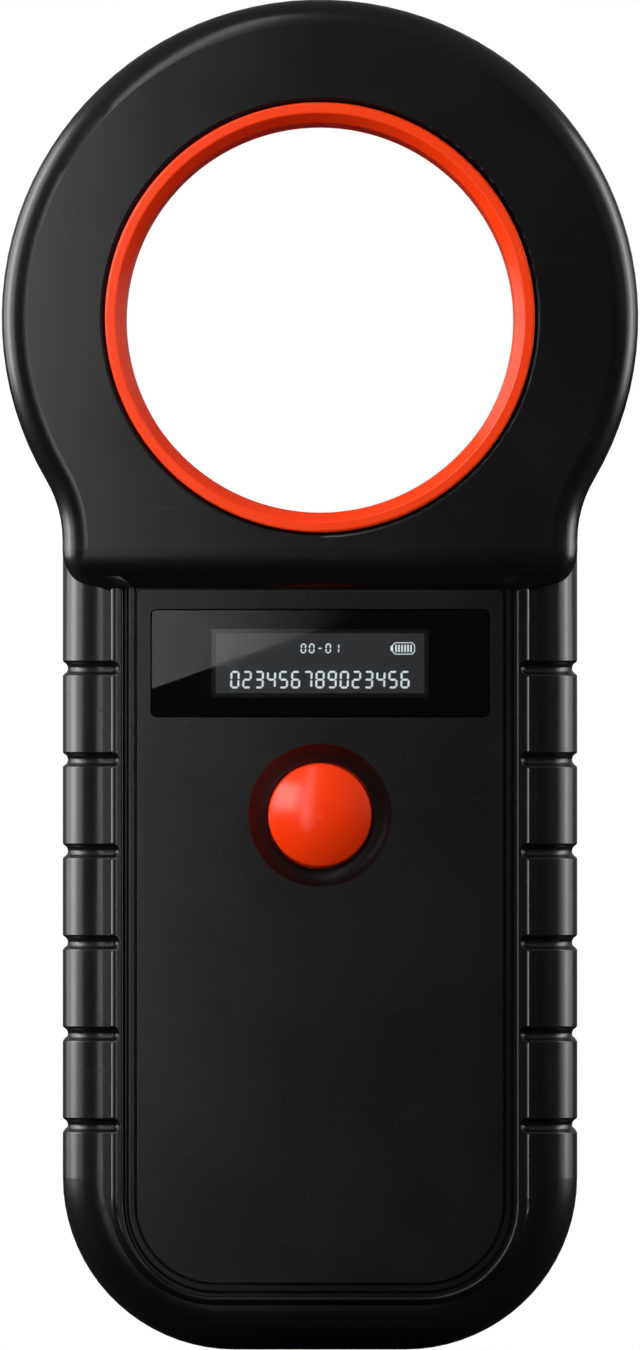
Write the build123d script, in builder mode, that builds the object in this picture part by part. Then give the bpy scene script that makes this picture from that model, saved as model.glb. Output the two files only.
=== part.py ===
from build123d import *
from math import cos, radians, sin
import os

# A hand-held ring reader for implanted animal tags: a flat handle with a display
# and one push button, and a round head with an open reading loop.
#
# Millimetres. +X is the reader's right as its face is seen, +Y runs from the face
# into the body, +Z runs up the handle to the head. The origin is the middle of the
# hand grip. Depths are given as heights "f" above the parting plane, positive
# towards the face, so a depth f lies at y = -f.

os.makedirs("parts", exist_ok=True)

# ---------------------------------------------------------------- outline
HEAD_R = 37.7
HEAD_Z = 77.3
HANDLE_HALF = 30.5
BOTTOM_Z = -45.0
BOTTOM_R = 20.4
NECK_R = 14.0

# ---------------------------------------------------------------- depths
BACK_F = -11.5
HEAD_F = 11.5
CROWN_F = 10.3
RIM_F = 10.9
PANEL_F = 9.3
PANEL_SEAT_F = 8.0
MOAT_F = 8.9
SHELL_INNER_F = 6.2
HEAD_INNER_F = 9.3
BACK_INNER_F = -9.5
WALL = 2.4

# ---------------------------------------------------------------- edge rounding
HEAD_ROUND = 3.0
CROWN_ROUND = 4.8
BACK_ROUND = 4.0
SEAM_BEVEL = 0.2
RIM_ROUND = 0.9
MOUTH_ROUND = 0.25
BEAD_ROUND = 0.35
FINE_ROUND = 0.2
LOOP_ROUND = 0.35

# ---------------------------------------------------------------- face panel
PANEL_HALF = 21.8
PANEL_TOP = 45.15
PANEL_BOTTOM = -37.1
PANEL_CORNER_R = 9.5
STEP_Z = 45.3
BEAD_IN = 0.2
BEAD_OUT = 1.1
RIM_IN = 1.5
RIM_OUT = 3.1
RIM_LIFT = 0.6

# ---------------------------------------------------------------- head and ring
HOLE_R = 23.07
RING_R = 25.45
RING_F = 11.65
RING_GAP = 0.25
COLLAR_R = 27.3
FLANGE_R = 26.9
FLANGE_HALF = 0.8
BOBBIN_IN_R = 27.7
BOBBIN_OUT_R = 31.8
BOBBIN_HALF = 4.5
BOBBIN_WALL = 0.8

# ---------------------------------------------------------------- grip grooves
GROOVE_Z = [35.8 - 10.83 * step for step in range(6)]
GROOVE_LIP_R = 0.4
GROOVE_FLOOR_R = 0.75
GROOVE_TURN = 62
GROOVE_RISE = 0.6
GROOVE_END_X = 24.6

# ---------------------------------------------------------------- display
DISPLAY_Z = 36.4
WINDOW_W, WINDOW_H = 40.0, 12.7
WINDOW_R = 0.7
WINDOW_GAP = 0.1
MASK_T = 0.15
GLASS_W, GLASS_H = 30.5, 12.0
ACTIVE_W, ACTIVE_H = 24.7, 7.1
GLASS_LOW_F, GLASS_HIGH_F = 6.0, 7.4

# ---------------------------------------------------------------- button
BUTTON_Z = 18.4
BUTTON_R = 6.15
BUTTON_HOLE_R = 6.4
BUTTON_RIM_F = 9.0
BUTTON_TOP_F = 10.9
BUTTON_FLANGE_R = 7.8
DISH_R = 8.5
DISH_F = 7.8
DISH_BOSS_R = 9.3
DISH_BOSS_F = 6.4

# ---------------------------------------------------------------- electronics
BOARD_LOW_F, BOARD_HIGH_F = 1.65, 2.85
BOARD_HALF = 21.5
BOARD_TOP = 43.5
BOARD_SHOULDER = -28.0
BOARD_BOTTOM = -41.2
BOARD_TONGUE = 12.0
BOARD_SCREWS = [(-19, 40), (19, 40), (-19, -24), (19, -24)]
CASE_SCREWS = [(-24.5, 46), (24.5, 46), (-21.5, -33), (21.5, -33)]
BATTERY_W, BATTERY_H = 34.0, 50.0
BATTERY_Z = -9.0
BATTERY_LOW_F, BATTERY_HIGH_F = -9.0, -3.4
WIRE_R = 0.45
HEADER_LOW_F = -1.9
HEADER_Z = 26.0
LEAD_X = 8.0
LEAD_SLOT_W = 5.0
LEAD_END_Y = 6.2
COIL_HEADER_X = 11.0
BUZZER_AT = (-14, 32)
FLEX_W = 10.0
CONNECTOR_H = 1.0
SWITCH_TOP_F = 5.05
PLUNGER_R = 1.7
STEM_F, STEM_R = 5.6, 1.5
BUTTON_ROOF_F = 7.6
BUTTON_FLANGE_F = 5.05
PORT_W, PORT_H, PORT_L = 8.94, 3.26, 7.35

# ---------------------------------------------------------------- housing details
ROLL_R = 6.1
ROLL_Z = 50.0
LIP_IN, LIP_T, LIP_F, LIP_GAP = 1.3, 0.95, 1.2, 0.15
GUIDE_F = 4.6
POST_R = 1.3
BOBBIN_POSTS = [
    (29.8 * cos(radians(60 * step + 30)), HEAD_Z + 29.8 * sin(radians(60 * step + 30))) for step in range(6)
]
CASE_POST_R, CASE_PILOT_R, CASE_PILOT_F = 2.6, 0.9, 5.4
CASE_HEAD_R, CASE_SHANK_R, SCREW_SEAT_F = 1.9, 1.0, -8.0
BOARD_POST_R, BOARD_PILOT_R, BOARD_SHANK_R = 2.1, 0.7, 0.8
BATTERY_FENCE_F = -6.0
LABEL_W, LABEL_H, LABEL_Z, LABEL_T = 38.0, 26.0, 12.0, 0.2
RING_SLOPE = 1.1
COIL_DEEP = 2.4


def depth(f):
    """The sketch plane at height f above the parting plane, facing the front."""
    return Plane.XZ.offset(f)


def axial(z, x=0.0):
    """A half-section plane for turned pieces: local x is radius, local y is f."""
    return Plane(origin=(x, 0, z), x_dir=(1, 0, 0), z_dir=(0, 0, -1))


def spin_axis(z, x=0.0):
    """The front-to-back axis through a point of the face."""
    return Axis((x, 0, z), (0, 1, 0))


def slab(f_low, f_high, width, height, at=(0, 0), radius=0.0, mode=Mode.ADD):
    """Adds or cuts a straight block with optional rounded corners between two depths."""
    with BuildSketch(depth(f_low)) as face:
        with Locations(at):
            if radius:
                RectangleRounded(width, height, radius)
            else:
                Rectangle(width, height)
    extrude(face.sketch, amount=f_high - f_low, mode=mode)


def disc(f_low, f_high, radius, at=(0, 0), mode=Mode.ADD):
    """Adds or cuts a round peg or hole between two depths, at one or more places."""
    places = at if isinstance(at, list) else [at]
    with BuildSketch(depth(f_low)) as face:
        with Locations(*places):
            Circle(radius)
    extrude(face.sketch, amount=f_high - f_low, mode=mode)


def save(builder, name):
    """Labels a finished piece and writes it."""
    builder.part.label = name
    export_step(builder.part, f"parts/{name}.step")


# ================================================================ shared outlines
with BuildSketch() as outline:
    with Locations((0, HEAD_Z)):
        Circle(HEAD_R)
    with Locations((0, (HEAD_Z + BOTTOM_Z) / 2)):
        Rectangle(2 * HANDLE_HALF, HEAD_Z - BOTTOM_Z)
    fillet(outline.vertices().group_by(Axis.Y)[0], BOTTOM_R)
    fillet(outline.vertices().filter_by_position(Axis.Y, 52, 58), NECK_R)

NECK_Z = 50.0
HANDLE_TOP = 60.0
SHOULDER_LOW_Z = 43.2
SHOULDER_CORNER_Z = 46.3
SHOULDER_R = 5.0

# The head's plan: the round head and neck, ending in two sloping shoulders.
with BuildSketch() as head_outline:
    with BuildLine() as shoulder:
        Polyline(
            (0, HEAD_Z),
            (0, SHOULDER_LOW_Z),
            (PANEL_HALF, SHOULDER_LOW_Z),
            (HANDLE_HALF, SHOULDER_CORNER_Z),
            (HANDLE_HALF, HEAD_Z),
            close=True,
        )
    make_face()
    fillet(head_outline.vertices().filter_by_position(Axis.Y, 46, 47), SHOULDER_R)
    mirror(about=Plane.YZ)
    with BuildSketch(mode=Mode.PRIVATE) as upper:
        add(outline.sketch)
        with Locations((0, NECK_Z + HEAD_Z)):
            Rectangle(4 * HEAD_R, 2 * HEAD_Z, mode=Mode.INTERSECT)
    add(upper.sketch)


def outline_face(f, inset=0.0, low=None):
    """The silhouette at depth f, pulled in by inset and kept above a height if one is given."""
    with BuildSketch(depth(f)) as face:
        add(outline.sketch)
        if inset:
            offset(amount=-inset, mode=Mode.REPLACE)
        if low is not None:
            with Locations((0, low + HEAD_Z * 2)):
                Rectangle(4 * HEAD_R, HEAD_Z * 4, mode=Mode.INTERSECT)
    return face.sketch


def handle_face(f):
    """The handle's plan alone at depth f, running up into the head."""
    with BuildSketch(depth(f)) as face:
        with Locations((0, (HANDLE_TOP + BOTTOM_Z) / 2)):
            Rectangle(2 * HANDLE_HALF, HANDLE_TOP - BOTTOM_Z)
        fillet(face.vertices().group_by(Axis.Y)[0], BOTTOM_R)
    return face.sketch


def panel_face(f, grow=0.0, top=PANEL_TOP, top_r=0.0, lift=0.0):
    """The face panel's plan at depth f, grown by a margin on its sides and bottom."""
    low = PANEL_BOTTOM - grow + lift
    with BuildSketch(depth(f)) as face:
        with Locations((0, (top + low) / 2)):
            Rectangle(2 * (PANEL_HALF + grow), top - low)
        fillet(face.vertices().group_by(Axis.Y)[0], PANEL_CORNER_R + grow)
        if top_r:
            fillet(face.vertices().group_by(Axis.Y)[-1], top_r)
    return face.sketch


def front_edges(builder, below_z=None):
    """Edges of the face nearest the front, leaving out those above a height."""
    edges = builder.faces().sort_by(Axis.Y)[0].edges()
    if below_z is not None:
        edges = edges.filter_by(lambda e: e.center().Z < below_z)
    return edges


def loop_edge(builder, f):
    """The round edge of the reading loop on a housing's outside face at depth f."""
    near = builder.edges().filter_by(GeomType.CIRCLE).filter_by_position(Axis.Y, -f - 0.01, -f + 0.01)
    return near.filter_by(lambda e: abs(e.radius - RING_R - RING_GAP) < 0.01)


def on_rim_mouth(edge):
    """True for the rim's edges along the mouth of the panel pocket."""
    place = edge.center()
    inside = abs(place.X) < PANEL_HALF + RIM_IN + 0.05 and place.Z > PANEL_BOTTOM - RIM_IN - 0.05
    return inside and place.Z < STEP_Z


# ================================================================ grip grooves
# One groove is a shallow channel with rounded lips, drawn round the side of the
# handle from the rim over the crown and down the side wall to the back.
lip_reach = GROOVE_LIP_R * sin(radians(GROOVE_TURN))
lip_drop = GROOVE_LIP_R * (1 - cos(radians(GROOVE_TURN)))
groove_half = (GROOVE_LIP_R + GROOVE_FLOOR_R) * sin(radians(GROOVE_TURN))
groove_deep = (GROOVE_LIP_R + GROOVE_FLOOR_R) * (1 - cos(radians(GROOVE_TURN)))
half_turn = radians(GROOVE_TURN / 2)
lip_mid = (
    -groove_half + GROOVE_LIP_R * sin(half_turn),
    -GROOVE_LIP_R * (1 - cos(half_turn)),
)
with BuildSketch() as groove_half_section:
    with BuildLine():
        ThreePointArc((-groove_half, 0), lip_mid, (-groove_half + lip_reach, -lip_drop))
        ThreePointArc(
            (-groove_half + lip_reach, -lip_drop),
            (-GROOVE_FLOOR_R * sin(half_turn), -groove_deep + GROOVE_FLOOR_R * (1 - cos(half_turn))),
            (0, -groove_deep),
        )
        Polyline((0, -groove_deep), (0, GROOVE_RISE), (-groove_half, GROOVE_RISE), (-groove_half, 0))
    make_face()

CROWN_X = HANDLE_HALF - CROWN_ROUND
BACK_X = HANDLE_HALF - BACK_ROUND
LIFT = 0.01
crown_y = -CROWN_F - LIFT
back_y = -BACK_F + LIFT
side_x = HANDLE_HALF + LIFT
crown_start_y = CROWN_ROUND - CROWN_F
back_start_y = -BACK_F - BACK_ROUND
diagonal = sin(radians(45))
crown_mid = (CROWN_X + (CROWN_ROUND + LIFT) * diagonal, crown_start_y - (CROWN_ROUND + LIFT) * diagonal)
back_mid = (BACK_X + (BACK_ROUND + LIFT) * diagonal, back_start_y + (BACK_ROUND + LIFT) * diagonal)
first_groove = GROOVE_Z[0]
with BuildPart() as groove_tool:
    with BuildLine(Plane.XY.offset(first_groove)) as groove_path:
        Line((GROOVE_END_X, crown_y), (CROWN_X, crown_y))
        ThreePointArc((CROWN_X, crown_y), crown_mid, (side_x, crown_start_y))
        Line((side_x, crown_start_y), (side_x, back_start_y))
        ThreePointArc((side_x, back_start_y), back_mid, (BACK_X, back_y))
        Line((BACK_X, back_y), (GROOVE_END_X, back_y))
    start_plane = Plane(origin=(GROOVE_END_X, crown_y, first_groove), x_dir=(0, 0, 1), z_dir=(1, 0, 0))
    with BuildSketch(start_plane) as groove_section:
        add(groove_half_section.sketch)
        mirror(about=Plane.YZ)
    sweep()
    # rounded ends on the crown and on the back
    with BuildSketch(start_plane) as front_end:
        add(groove_half_section.sketch)
    revolve(axis=Axis((GROOVE_END_X, crown_y, first_groove), (0, 1, 0)))
    back_plane = Plane(origin=(GROOVE_END_X, back_y, first_groove), x_dir=(0, 0, 1), z_dir=(-1, 0, 0))
    with BuildSketch(back_plane) as back_end:
        add(groove_half_section.sketch)
    revolve(axis=Axis((GROOVE_END_X, back_y, first_groove), (0, 1, 0)))

groove_tools = []
for z in GROOVE_Z:
    placed = Pos(0, 0, z - first_groove) * groove_tool.part
    groove_tools.append(placed)
    groove_tools.append(placed.mirror(Plane.YZ))

# The charging port's slot through the bottom end of both housings.
with BuildPart() as port_tool:
    with BuildSketch(Plane.XY.offset(BOTTOM_Z - 1)) as port_slot:
        RectangleRounded(PORT_W + 0.6, PORT_H + 0.6, PORT_H / 2 + 0.29)
    extrude(amount=1 + WALL + 0.6)

# ================================================================ front housing
with BuildPart() as head_form:
    with BuildSketch(depth(0)) as head_plan:
        add(head_outline.sketch)
    extrude(amount=HEAD_F)
    fillet(front_edges(head_form), HEAD_ROUND)

# The plateau rolls down to the panel's top edge, between the two shoulders.
with BuildPart() as roll_tool:
    with BuildSketch(Plane.YZ.offset(-HANDLE_HALF)) as roll_profile:
        with Locations((-HEAD_F, (STEP_Z + ROLL_Z) / 2)):
            Rectangle(2 * ROLL_R, ROLL_Z - STEP_Z)
        with Locations((-HEAD_F + ROLL_R, ROLL_Z)):
            Circle(ROLL_R, mode=Mode.SUBTRACT)
        with Locations((-HEAD_F + 1.5 * ROLL_R, ROLL_Z)):
            Rectangle(ROLL_R * 2, 4 * ROLL_R, mode=Mode.SUBTRACT)
    extrude(amount=2 * HANDLE_HALF)
    with BuildSketch(depth(0)) as roll_plan:
        with BuildLine():
            Polyline(
                (0, STEP_Z - 1),
                (PANEL_HALF, STEP_Z - 1),
                (PANEL_HALF, STEP_Z),
                (PANEL_HALF + 1.9, STEP_Z + 1.35),
                (HANDLE_HALF, STEP_Z + 1.6),
                (HANDLE_HALF, ROLL_Z + 1),
                (0, ROLL_Z + 1),
                close=True,
            )
        make_face()
        mirror(about=Plane.YZ)
    extrude(roll_plan.sketch, amount=2 * HEAD_F, mode=Mode.INTERSECT)

# The raised rim round the panel, rounded along its outer edge.
with BuildPart() as rim_form:
    rim_plan = panel_face(SHELL_INNER_F, grow=RIM_OUT, top=STEP_Z + 1, lift=RIM_LIFT)
    extrude(rim_plan, amount=RIM_F - SHELL_INNER_F)
    fillet(front_edges(rim_form, below_z=STEP_Z), RIM_ROUND)

# The low bead between the moat and the panel.
with BuildPart() as bead_form:
    extrude(panel_face(MOAT_F, grow=BEAD_OUT, top=STEP_Z), amount=PANEL_F - MOAT_F)
    fillet(front_edges(bead_form, below_z=STEP_Z - 1), BEAD_ROUND)

with BuildPart() as front_housing:
    extrude(handle_face(0), amount=CROWN_F)
    fillet(front_edges(front_housing, below_z=HANDLE_TOP - 1), CROWN_ROUND)
    add(head_form.part)
    chamfer(front_housing.faces().sort_by(Axis.Y)[-1].edges(), SEAM_BEVEL)
    add(rim_form.part)
    # panel pocket, its bead and the panel's own seat
    extrude(panel_face(MOAT_F, grow=RIM_IN, top=STEP_Z), amount=HEAD_F, mode=Mode.SUBTRACT)
    rim_edges = front_housing.edges().filter_by_position(Axis.Y, -RIM_F - 0.01, -RIM_F + 0.01)
    fillet(rim_edges.filter_by(on_rim_mouth), MOUTH_ROUND)
    add(bead_form.part)
    extrude(panel_face(PANEL_SEAT_F, grow=BEAD_IN, top=STEP_Z), amount=HEAD_F, mode=Mode.SUBTRACT)
    add(roll_tool.part, mode=Mode.SUBTRACT)
    # cavity of the handle and of the head, and the rebate for the back's lip
    extrude(outline_face(0, inset=WALL), amount=SHELL_INNER_F, mode=Mode.SUBTRACT)
    extrude(outline_face(0, inset=WALL, low=48), amount=HEAD_INNER_F, mode=Mode.SUBTRACT)
    extrude(outline_face(0, inset=LIP_IN - LIP_GAP), amount=LIP_F + LIP_GAP, mode=Mode.SUBTRACT)
    # display opening and button opening with its guide collar
    glass_w, glass_h = GLASS_W + 0.5, GLASS_H + 0.4
    slab(SHELL_INNER_F, HEAD_F, glass_w, glass_h, at=(0, DISPLAY_Z), radius=0.5, mode=Mode.SUBTRACT)
    disc(GUIDE_F, SHELL_INNER_F, DISH_BOSS_R + 1.3, at=(0, BUTTON_Z))
    disc(0, HEAD_F, DISH_BOSS_R + 0.1, at=(0, BUTTON_Z), mode=Mode.SUBTRACT)
    # collar round the ring and posts that hold the antenna bobbin
    disc(FLANGE_HALF + 0.1, HEAD_INNER_F, COLLAR_R, at=(0, HEAD_Z))
    disc(BOBBIN_HALF + 0.05, HEAD_INNER_F, POST_R, at=BOBBIN_POSTS)
    disc(-1, HEAD_F + 1, RING_R + RING_GAP, at=(0, HEAD_Z), mode=Mode.SUBTRACT)
    fillet(loop_edge(front_housing, HEAD_F), LOOP_ROUND)
    # screw posts for the back housing and for the board
    disc(0.05, SHELL_INNER_F, CASE_POST_R, at=CASE_SCREWS)
    disc(0, CASE_PILOT_F, CASE_PILOT_R, at=CASE_SCREWS, mode=Mode.SUBTRACT)
    disc(BOARD_HIGH_F, SHELL_INNER_F, BOARD_POST_R, at=BOARD_SCREWS)
    disc(0, SHELL_INNER_F, BOARD_PILOT_R, at=BOARD_SCREWS, mode=Mode.SUBTRACT)
    # stiffening ribs across the handle, below the board's components
    for rib_z in (-12, -20):
        slab(SHELL_INNER_F - 1.5, SHELL_INNER_F, 36, 1.2, at=(0, rib_z))
    add(port_tool.part, mode=Mode.SUBTRACT)
    for tool in groove_tools:
        add(tool, mode=Mode.SUBTRACT)
save(front_housing, "front_housing")

# ================================================================ back housing
with BuildPart() as back_housing:
    extrude(outline_face(0), amount=BACK_F)
    fillet(back_housing.faces().sort_by(Axis.Y)[-1].edges(), BACK_ROUND)
    chamfer(back_housing.faces().sort_by(Axis.Y)[0].edges(), SEAM_BEVEL)
    extrude(outline_face(0, inset=LIP_IN), amount=LIP_F)
    extrude(outline_face(LIP_F, inset=LIP_IN + LIP_T), amount=BACK_INNER_F - LIP_F, mode=Mode.SUBTRACT)
    disc(BACK_INNER_F, -FLANGE_HALF - 0.1, COLLAR_R, at=(0, HEAD_Z))
    disc(BACK_INNER_F, -BOBBIN_HALF - 0.05, POST_R, at=BOBBIN_POSTS)
    disc(BACK_F - 1, 1, RING_R + RING_GAP, at=(0, HEAD_Z), mode=Mode.SUBTRACT)
    fillet(loop_edge(back_housing, BACK_F), LOOP_ROUND)
    disc(BACK_INNER_F, -0.05, CASE_POST_R + 0.6, at=CASE_SCREWS)
    disc(BACK_F, SCREW_SEAT_F, CASE_HEAD_R + 0.25, at=CASE_SCREWS, mode=Mode.SUBTRACT)
    disc(SCREW_SEAT_F, 0, CASE_SHANK_R + 0.15, at=CASE_SCREWS, mode=Mode.SUBTRACT)
    # fence round the battery
    slab(BACK_INNER_F, BATTERY_FENCE_F, BATTERY_W + 3.2, BATTERY_H + 3.2, at=(0, BATTERY_Z), radius=2)
    slab(BACK_INNER_F, 0, BATTERY_W + 0.8, BATTERY_H + 0.8, at=(0, BATTERY_Z), radius=1, mode=Mode.SUBTRACT)
    slab(BACK_INNER_F, 0, LEAD_SLOT_W, 4, at=(LEAD_X, BATTERY_Z + BATTERY_H / 2 + 1), mode=Mode.SUBTRACT)
    # recess for the label
    label_w, label_h = LABEL_W + 0.6, LABEL_H + 0.6
    slab(BACK_F, BACK_F + LABEL_T, label_w, label_h, at=(0, LABEL_Z), radius=1.8, mode=Mode.SUBTRACT)
    add(port_tool.part, mode=Mode.SUBTRACT)
    for tool in groove_tools:
        add(tool, mode=Mode.SUBTRACT)
save(back_housing, "back_housing")

with BuildPart() as rating_label:
    slab(BACK_F, BACK_F + LABEL_T, LABEL_W, LABEL_H, at=(0, LABEL_Z), radius=1.5)
save(rating_label, "rating_label")

# ================================================================ ring and antenna
with BuildPart() as ring_liner:
    with BuildSketch(axial(HEAD_Z)) as ring_section:
        with BuildLine():
            Polyline(
                (HOLE_R, -RING_F + RING_SLOPE),
                (HOLE_R + RING_SLOPE, -RING_F),
                (RING_R, -RING_F),
                (RING_R, -FLANGE_HALF),
                (FLANGE_R, -FLANGE_HALF),
                (FLANGE_R, FLANGE_HALF),
                (RING_R, FLANGE_HALF),
                (RING_R, RING_F),
                (HOLE_R + RING_SLOPE, RING_F),
                (HOLE_R, RING_F - RING_SLOPE * 1.7),
                close=True,
            )
        make_face()
        lips = ring_section.vertices().filter_by(lambda v: abs(v.Y) > FLANGE_HALF + 1)
        fillet(lips, 0.3)
    revolve(axis=spin_axis(HEAD_Z))
save(ring_liner, "ring_liner")

with BuildPart() as coil_bobbin:
    disc(-BOBBIN_HALF, BOBBIN_HALF, BOBBIN_OUT_R, at=(0, HEAD_Z))
    with BuildSketch(axial(HEAD_Z)) as channel:
        with Locations((BOBBIN_IN_R + BOBBIN_WALL + 5, 0)):
            Rectangle(10, 2 * (BOBBIN_HALF - BOBBIN_WALL))
    revolve(axis=spin_axis(HEAD_Z), mode=Mode.SUBTRACT)
    disc(-BOBBIN_HALF, BOBBIN_HALF, BOBBIN_IN_R, at=(0, HEAD_Z), mode=Mode.SUBTRACT)
save(coil_bobbin, "coil_bobbin")

coil_half = BOBBIN_HALF - BOBBIN_WALL - 0.1
with BuildPart() as antenna_coil:
    with BuildSketch(axial(HEAD_Z)) as winding:
        with Locations((BOBBIN_IN_R + BOBBIN_WALL + 0.05 + COIL_DEEP / 2, 0)):
            RectangleRounded(COIL_DEEP, 2 * coil_half, 0.3)
    revolve(axis=spin_axis(HEAD_Z))
save(antenna_coil, "antenna_coil")

# ================================================================ face panel and display
with BuildPart() as face_panel:
    extrude(panel_face(PANEL_SEAT_F, top_r=0.7), amount=PANEL_F - PANEL_SEAT_F)
    fillet(face_panel.faces().sort_by(Axis.Y)[0].edges(), FINE_ROUND)
    disc(DISH_BOSS_F, PANEL_SEAT_F, DISH_BOSS_R, at=(0, BUTTON_Z))
    with BuildSketch(axial(BUTTON_Z)) as dish:
        with BuildLine():
            ThreePointArc((DISH_R, PANEL_F), (DISH_R - 1.0, PANEL_F - 1.0), (BUTTON_HOLE_R, DISH_F))
            Polyline((BUTTON_HOLE_R, DISH_F), (0, DISH_F), (0, PANEL_F + 1), (DISH_R, PANEL_F + 1), (DISH_R, PANEL_F))
        make_face()
    revolve(axis=spin_axis(BUTTON_Z), mode=Mode.SUBTRACT)
    disc(DISH_BOSS_F - 1, PANEL_F, BUTTON_HOLE_R, at=(0, BUTTON_Z), mode=Mode.SUBTRACT)
    slab(
        PANEL_SEAT_F, PANEL_F, WINDOW_W + 2 * WINDOW_GAP, WINDOW_H + 2 * WINDOW_GAP,
        at=(0, DISPLAY_Z), radius=WINDOW_R + WINDOW_GAP, mode=Mode.SUBTRACT,
    )
save(face_panel, "face_panel")

with BuildPart() as window_mask:
    slab(PANEL_SEAT_F, PANEL_SEAT_F + MASK_T, WINDOW_W, WINDOW_H, at=(0, DISPLAY_Z), radius=WINDOW_R)
    slab(PANEL_SEAT_F, PANEL_F, ACTIVE_W + 1, ACTIVE_H + 1, at=(0, DISPLAY_Z), mode=Mode.SUBTRACT)
save(window_mask, "window_mask")

with BuildPart() as display_window:
    slab(PANEL_SEAT_F + MASK_T, PANEL_F - 0.02, WINDOW_W, WINDOW_H, at=(0, DISPLAY_Z), radius=WINDOW_R)
    chamfer(display_window.faces().sort_by(Axis.Y)[0].edges(), 0.1)
save(display_window, "display_window")

with BuildPart() as display_gasket:
    slab(GLASS_HIGH_F, PANEL_SEAT_F, GLASS_W, GLASS_H, at=(0, DISPLAY_Z))
    slab(GLASS_HIGH_F, PANEL_SEAT_F, GLASS_W - 3, GLASS_H - 3, at=(0, DISPLAY_Z), mode=Mode.SUBTRACT)
save(display_gasket, "display_gasket")

with BuildPart() as display_polarizer:
    slab(GLASS_HIGH_F, GLASS_HIGH_F + 0.15, GLASS_W - 3.2, GLASS_H - 3.2, at=(0, DISPLAY_Z))
save(display_polarizer, "display_polarizer")

with BuildPart() as display_glass:
    slab(GLASS_LOW_F, GLASS_HIGH_F, GLASS_W, GLASS_H, at=(0, DISPLAY_Z))
save(display_glass, "display_glass")

with BuildPart() as display_holder:
    slab(BOARD_HIGH_F, GLASS_LOW_F - 0.05, GLASS_W, GLASS_H, at=(0, DISPLAY_Z), radius=0.6)
    slab(BOARD_HIGH_F, GLASS_LOW_F, GLASS_W - 2.4, GLASS_H - 2.4, at=(0, DISPLAY_Z), mode=Mode.SUBTRACT)
    slab(BOARD_HIGH_F, GLASS_LOW_F, FLEX_W + 3, 6, at=(0, DISPLAY_Z - GLASS_H / 2), mode=Mode.SUBTRACT)
save(display_holder, "display_holder")

# The display's ribbon leaves the glass underneath and turns down to its connector.
flex_top = DISPLAY_Z - 2.5
flex_low = DISPLAY_Z - 7.0
flex_f = GLASS_LOW_F - 0.1
with BuildPart() as display_flex:
    with BuildSketch(Plane.YZ.offset(-FLEX_W / 2)) as flex_section:
        with BuildLine() as flex_path:
            FilletPolyline(
                (-flex_f, flex_top),
                (-flex_f, flex_low),
                (-BOARD_HIGH_F - CONNECTOR_H - 0.1, flex_low),
                radius=1.2,
            )
            offset(amount=0.06, side=Side.BOTH)
        make_face()
    extrude(amount=FLEX_W)
save(display_flex, "display_flex")

with BuildPart() as display_connector:
    slab(BOARD_HIGH_F, BOARD_HIGH_F + CONNECTOR_H, FLEX_W + 2, 2.6, at=(0, flex_low), radius=0.3)
save(display_connector, "display_connector")

# ================================================================ button and switch
# A shallow dome on a hollow skirt; the flange under the panel stops it at the front,
# and the stem in the middle pushes the switch.
dome_rise = BUTTON_TOP_F - BUTTON_RIM_F
dome_r = (BUTTON_R**2 + dome_rise**2) / (2 * dome_rise)
dome_mid_f = BUTTON_TOP_F - dome_r + (dome_r**2 - BUTTON_R**2 / 4) ** 0.5
skirt_inner_r = BUTTON_R - 1.1
with BuildPart() as button_cap:
    with BuildSketch(axial(BUTTON_Z)) as button_section:
        with BuildLine():
            Polyline(
                (0, BUTTON_TOP_F),
                (0, STEM_F),
                (STEM_R, STEM_F),
                (STEM_R, BUTTON_ROOF_F),
                (skirt_inner_r, BUTTON_ROOF_F),
                (skirt_inner_r, BUTTON_FLANGE_F),
                (BUTTON_FLANGE_R, BUTTON_FLANGE_F),
                (BUTTON_FLANGE_R, BUTTON_FLANGE_F + 1),
                (BUTTON_R, BUTTON_FLANGE_F + 1),
                (BUTTON_R, BUTTON_RIM_F),
            )
            ThreePointArc((BUTTON_R, BUTTON_RIM_F), (BUTTON_R / 2, dome_mid_f), (0, BUTTON_TOP_F))
        make_face()
    revolve(axis=spin_axis(BUTTON_Z))
    rim = button_cap.edges().filter_by(GeomType.CIRCLE).filter_by_position(
        Axis.Y, -BUTTON_RIM_F - 0.05, -BUTTON_RIM_F + 0.05
    )
    fillet(rim, 0.5)
save(button_cap, "button_cap")

with BuildPart() as switch_plunger:
    disc(SWITCH_TOP_F - 0.55, STEM_F - 0.03, PLUNGER_R, at=(0, BUTTON_Z))
save(switch_plunger, "switch_plunger")

with BuildPart() as switch_body:
    slab(BOARD_HIGH_F, SWITCH_TOP_F - 0.2, 6, 6, at=(0, BUTTON_Z), radius=0.3)
    disc(SWITCH_TOP_F - 1.2, SWITCH_TOP_F, PLUNGER_R + 0.1, at=(0, BUTTON_Z), mode=Mode.SUBTRACT)
save(switch_body, "switch_body")

with BuildPart() as switch_cover:
    slab(SWITCH_TOP_F - 0.2, SWITCH_TOP_F, 6, 6, at=(0, BUTTON_Z), radius=0.3)
    disc(SWITCH_TOP_F - 0.3, SWITCH_TOP_F, PLUNGER_R + 0.15, at=(0, BUTTON_Z), mode=Mode.SUBTRACT)
save(switch_cover, "switch_cover")

with BuildPart() as switch_terminals:
    for side in (-1, 1):
        for row in (-2.25, 2.25):
            slab(BOARD_HIGH_F, BOARD_HIGH_F + 0.25, 1.2, 0.7, at=(side * 3.6, BUTTON_Z + row))
save(switch_terminals, "switch_terminals")

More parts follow.
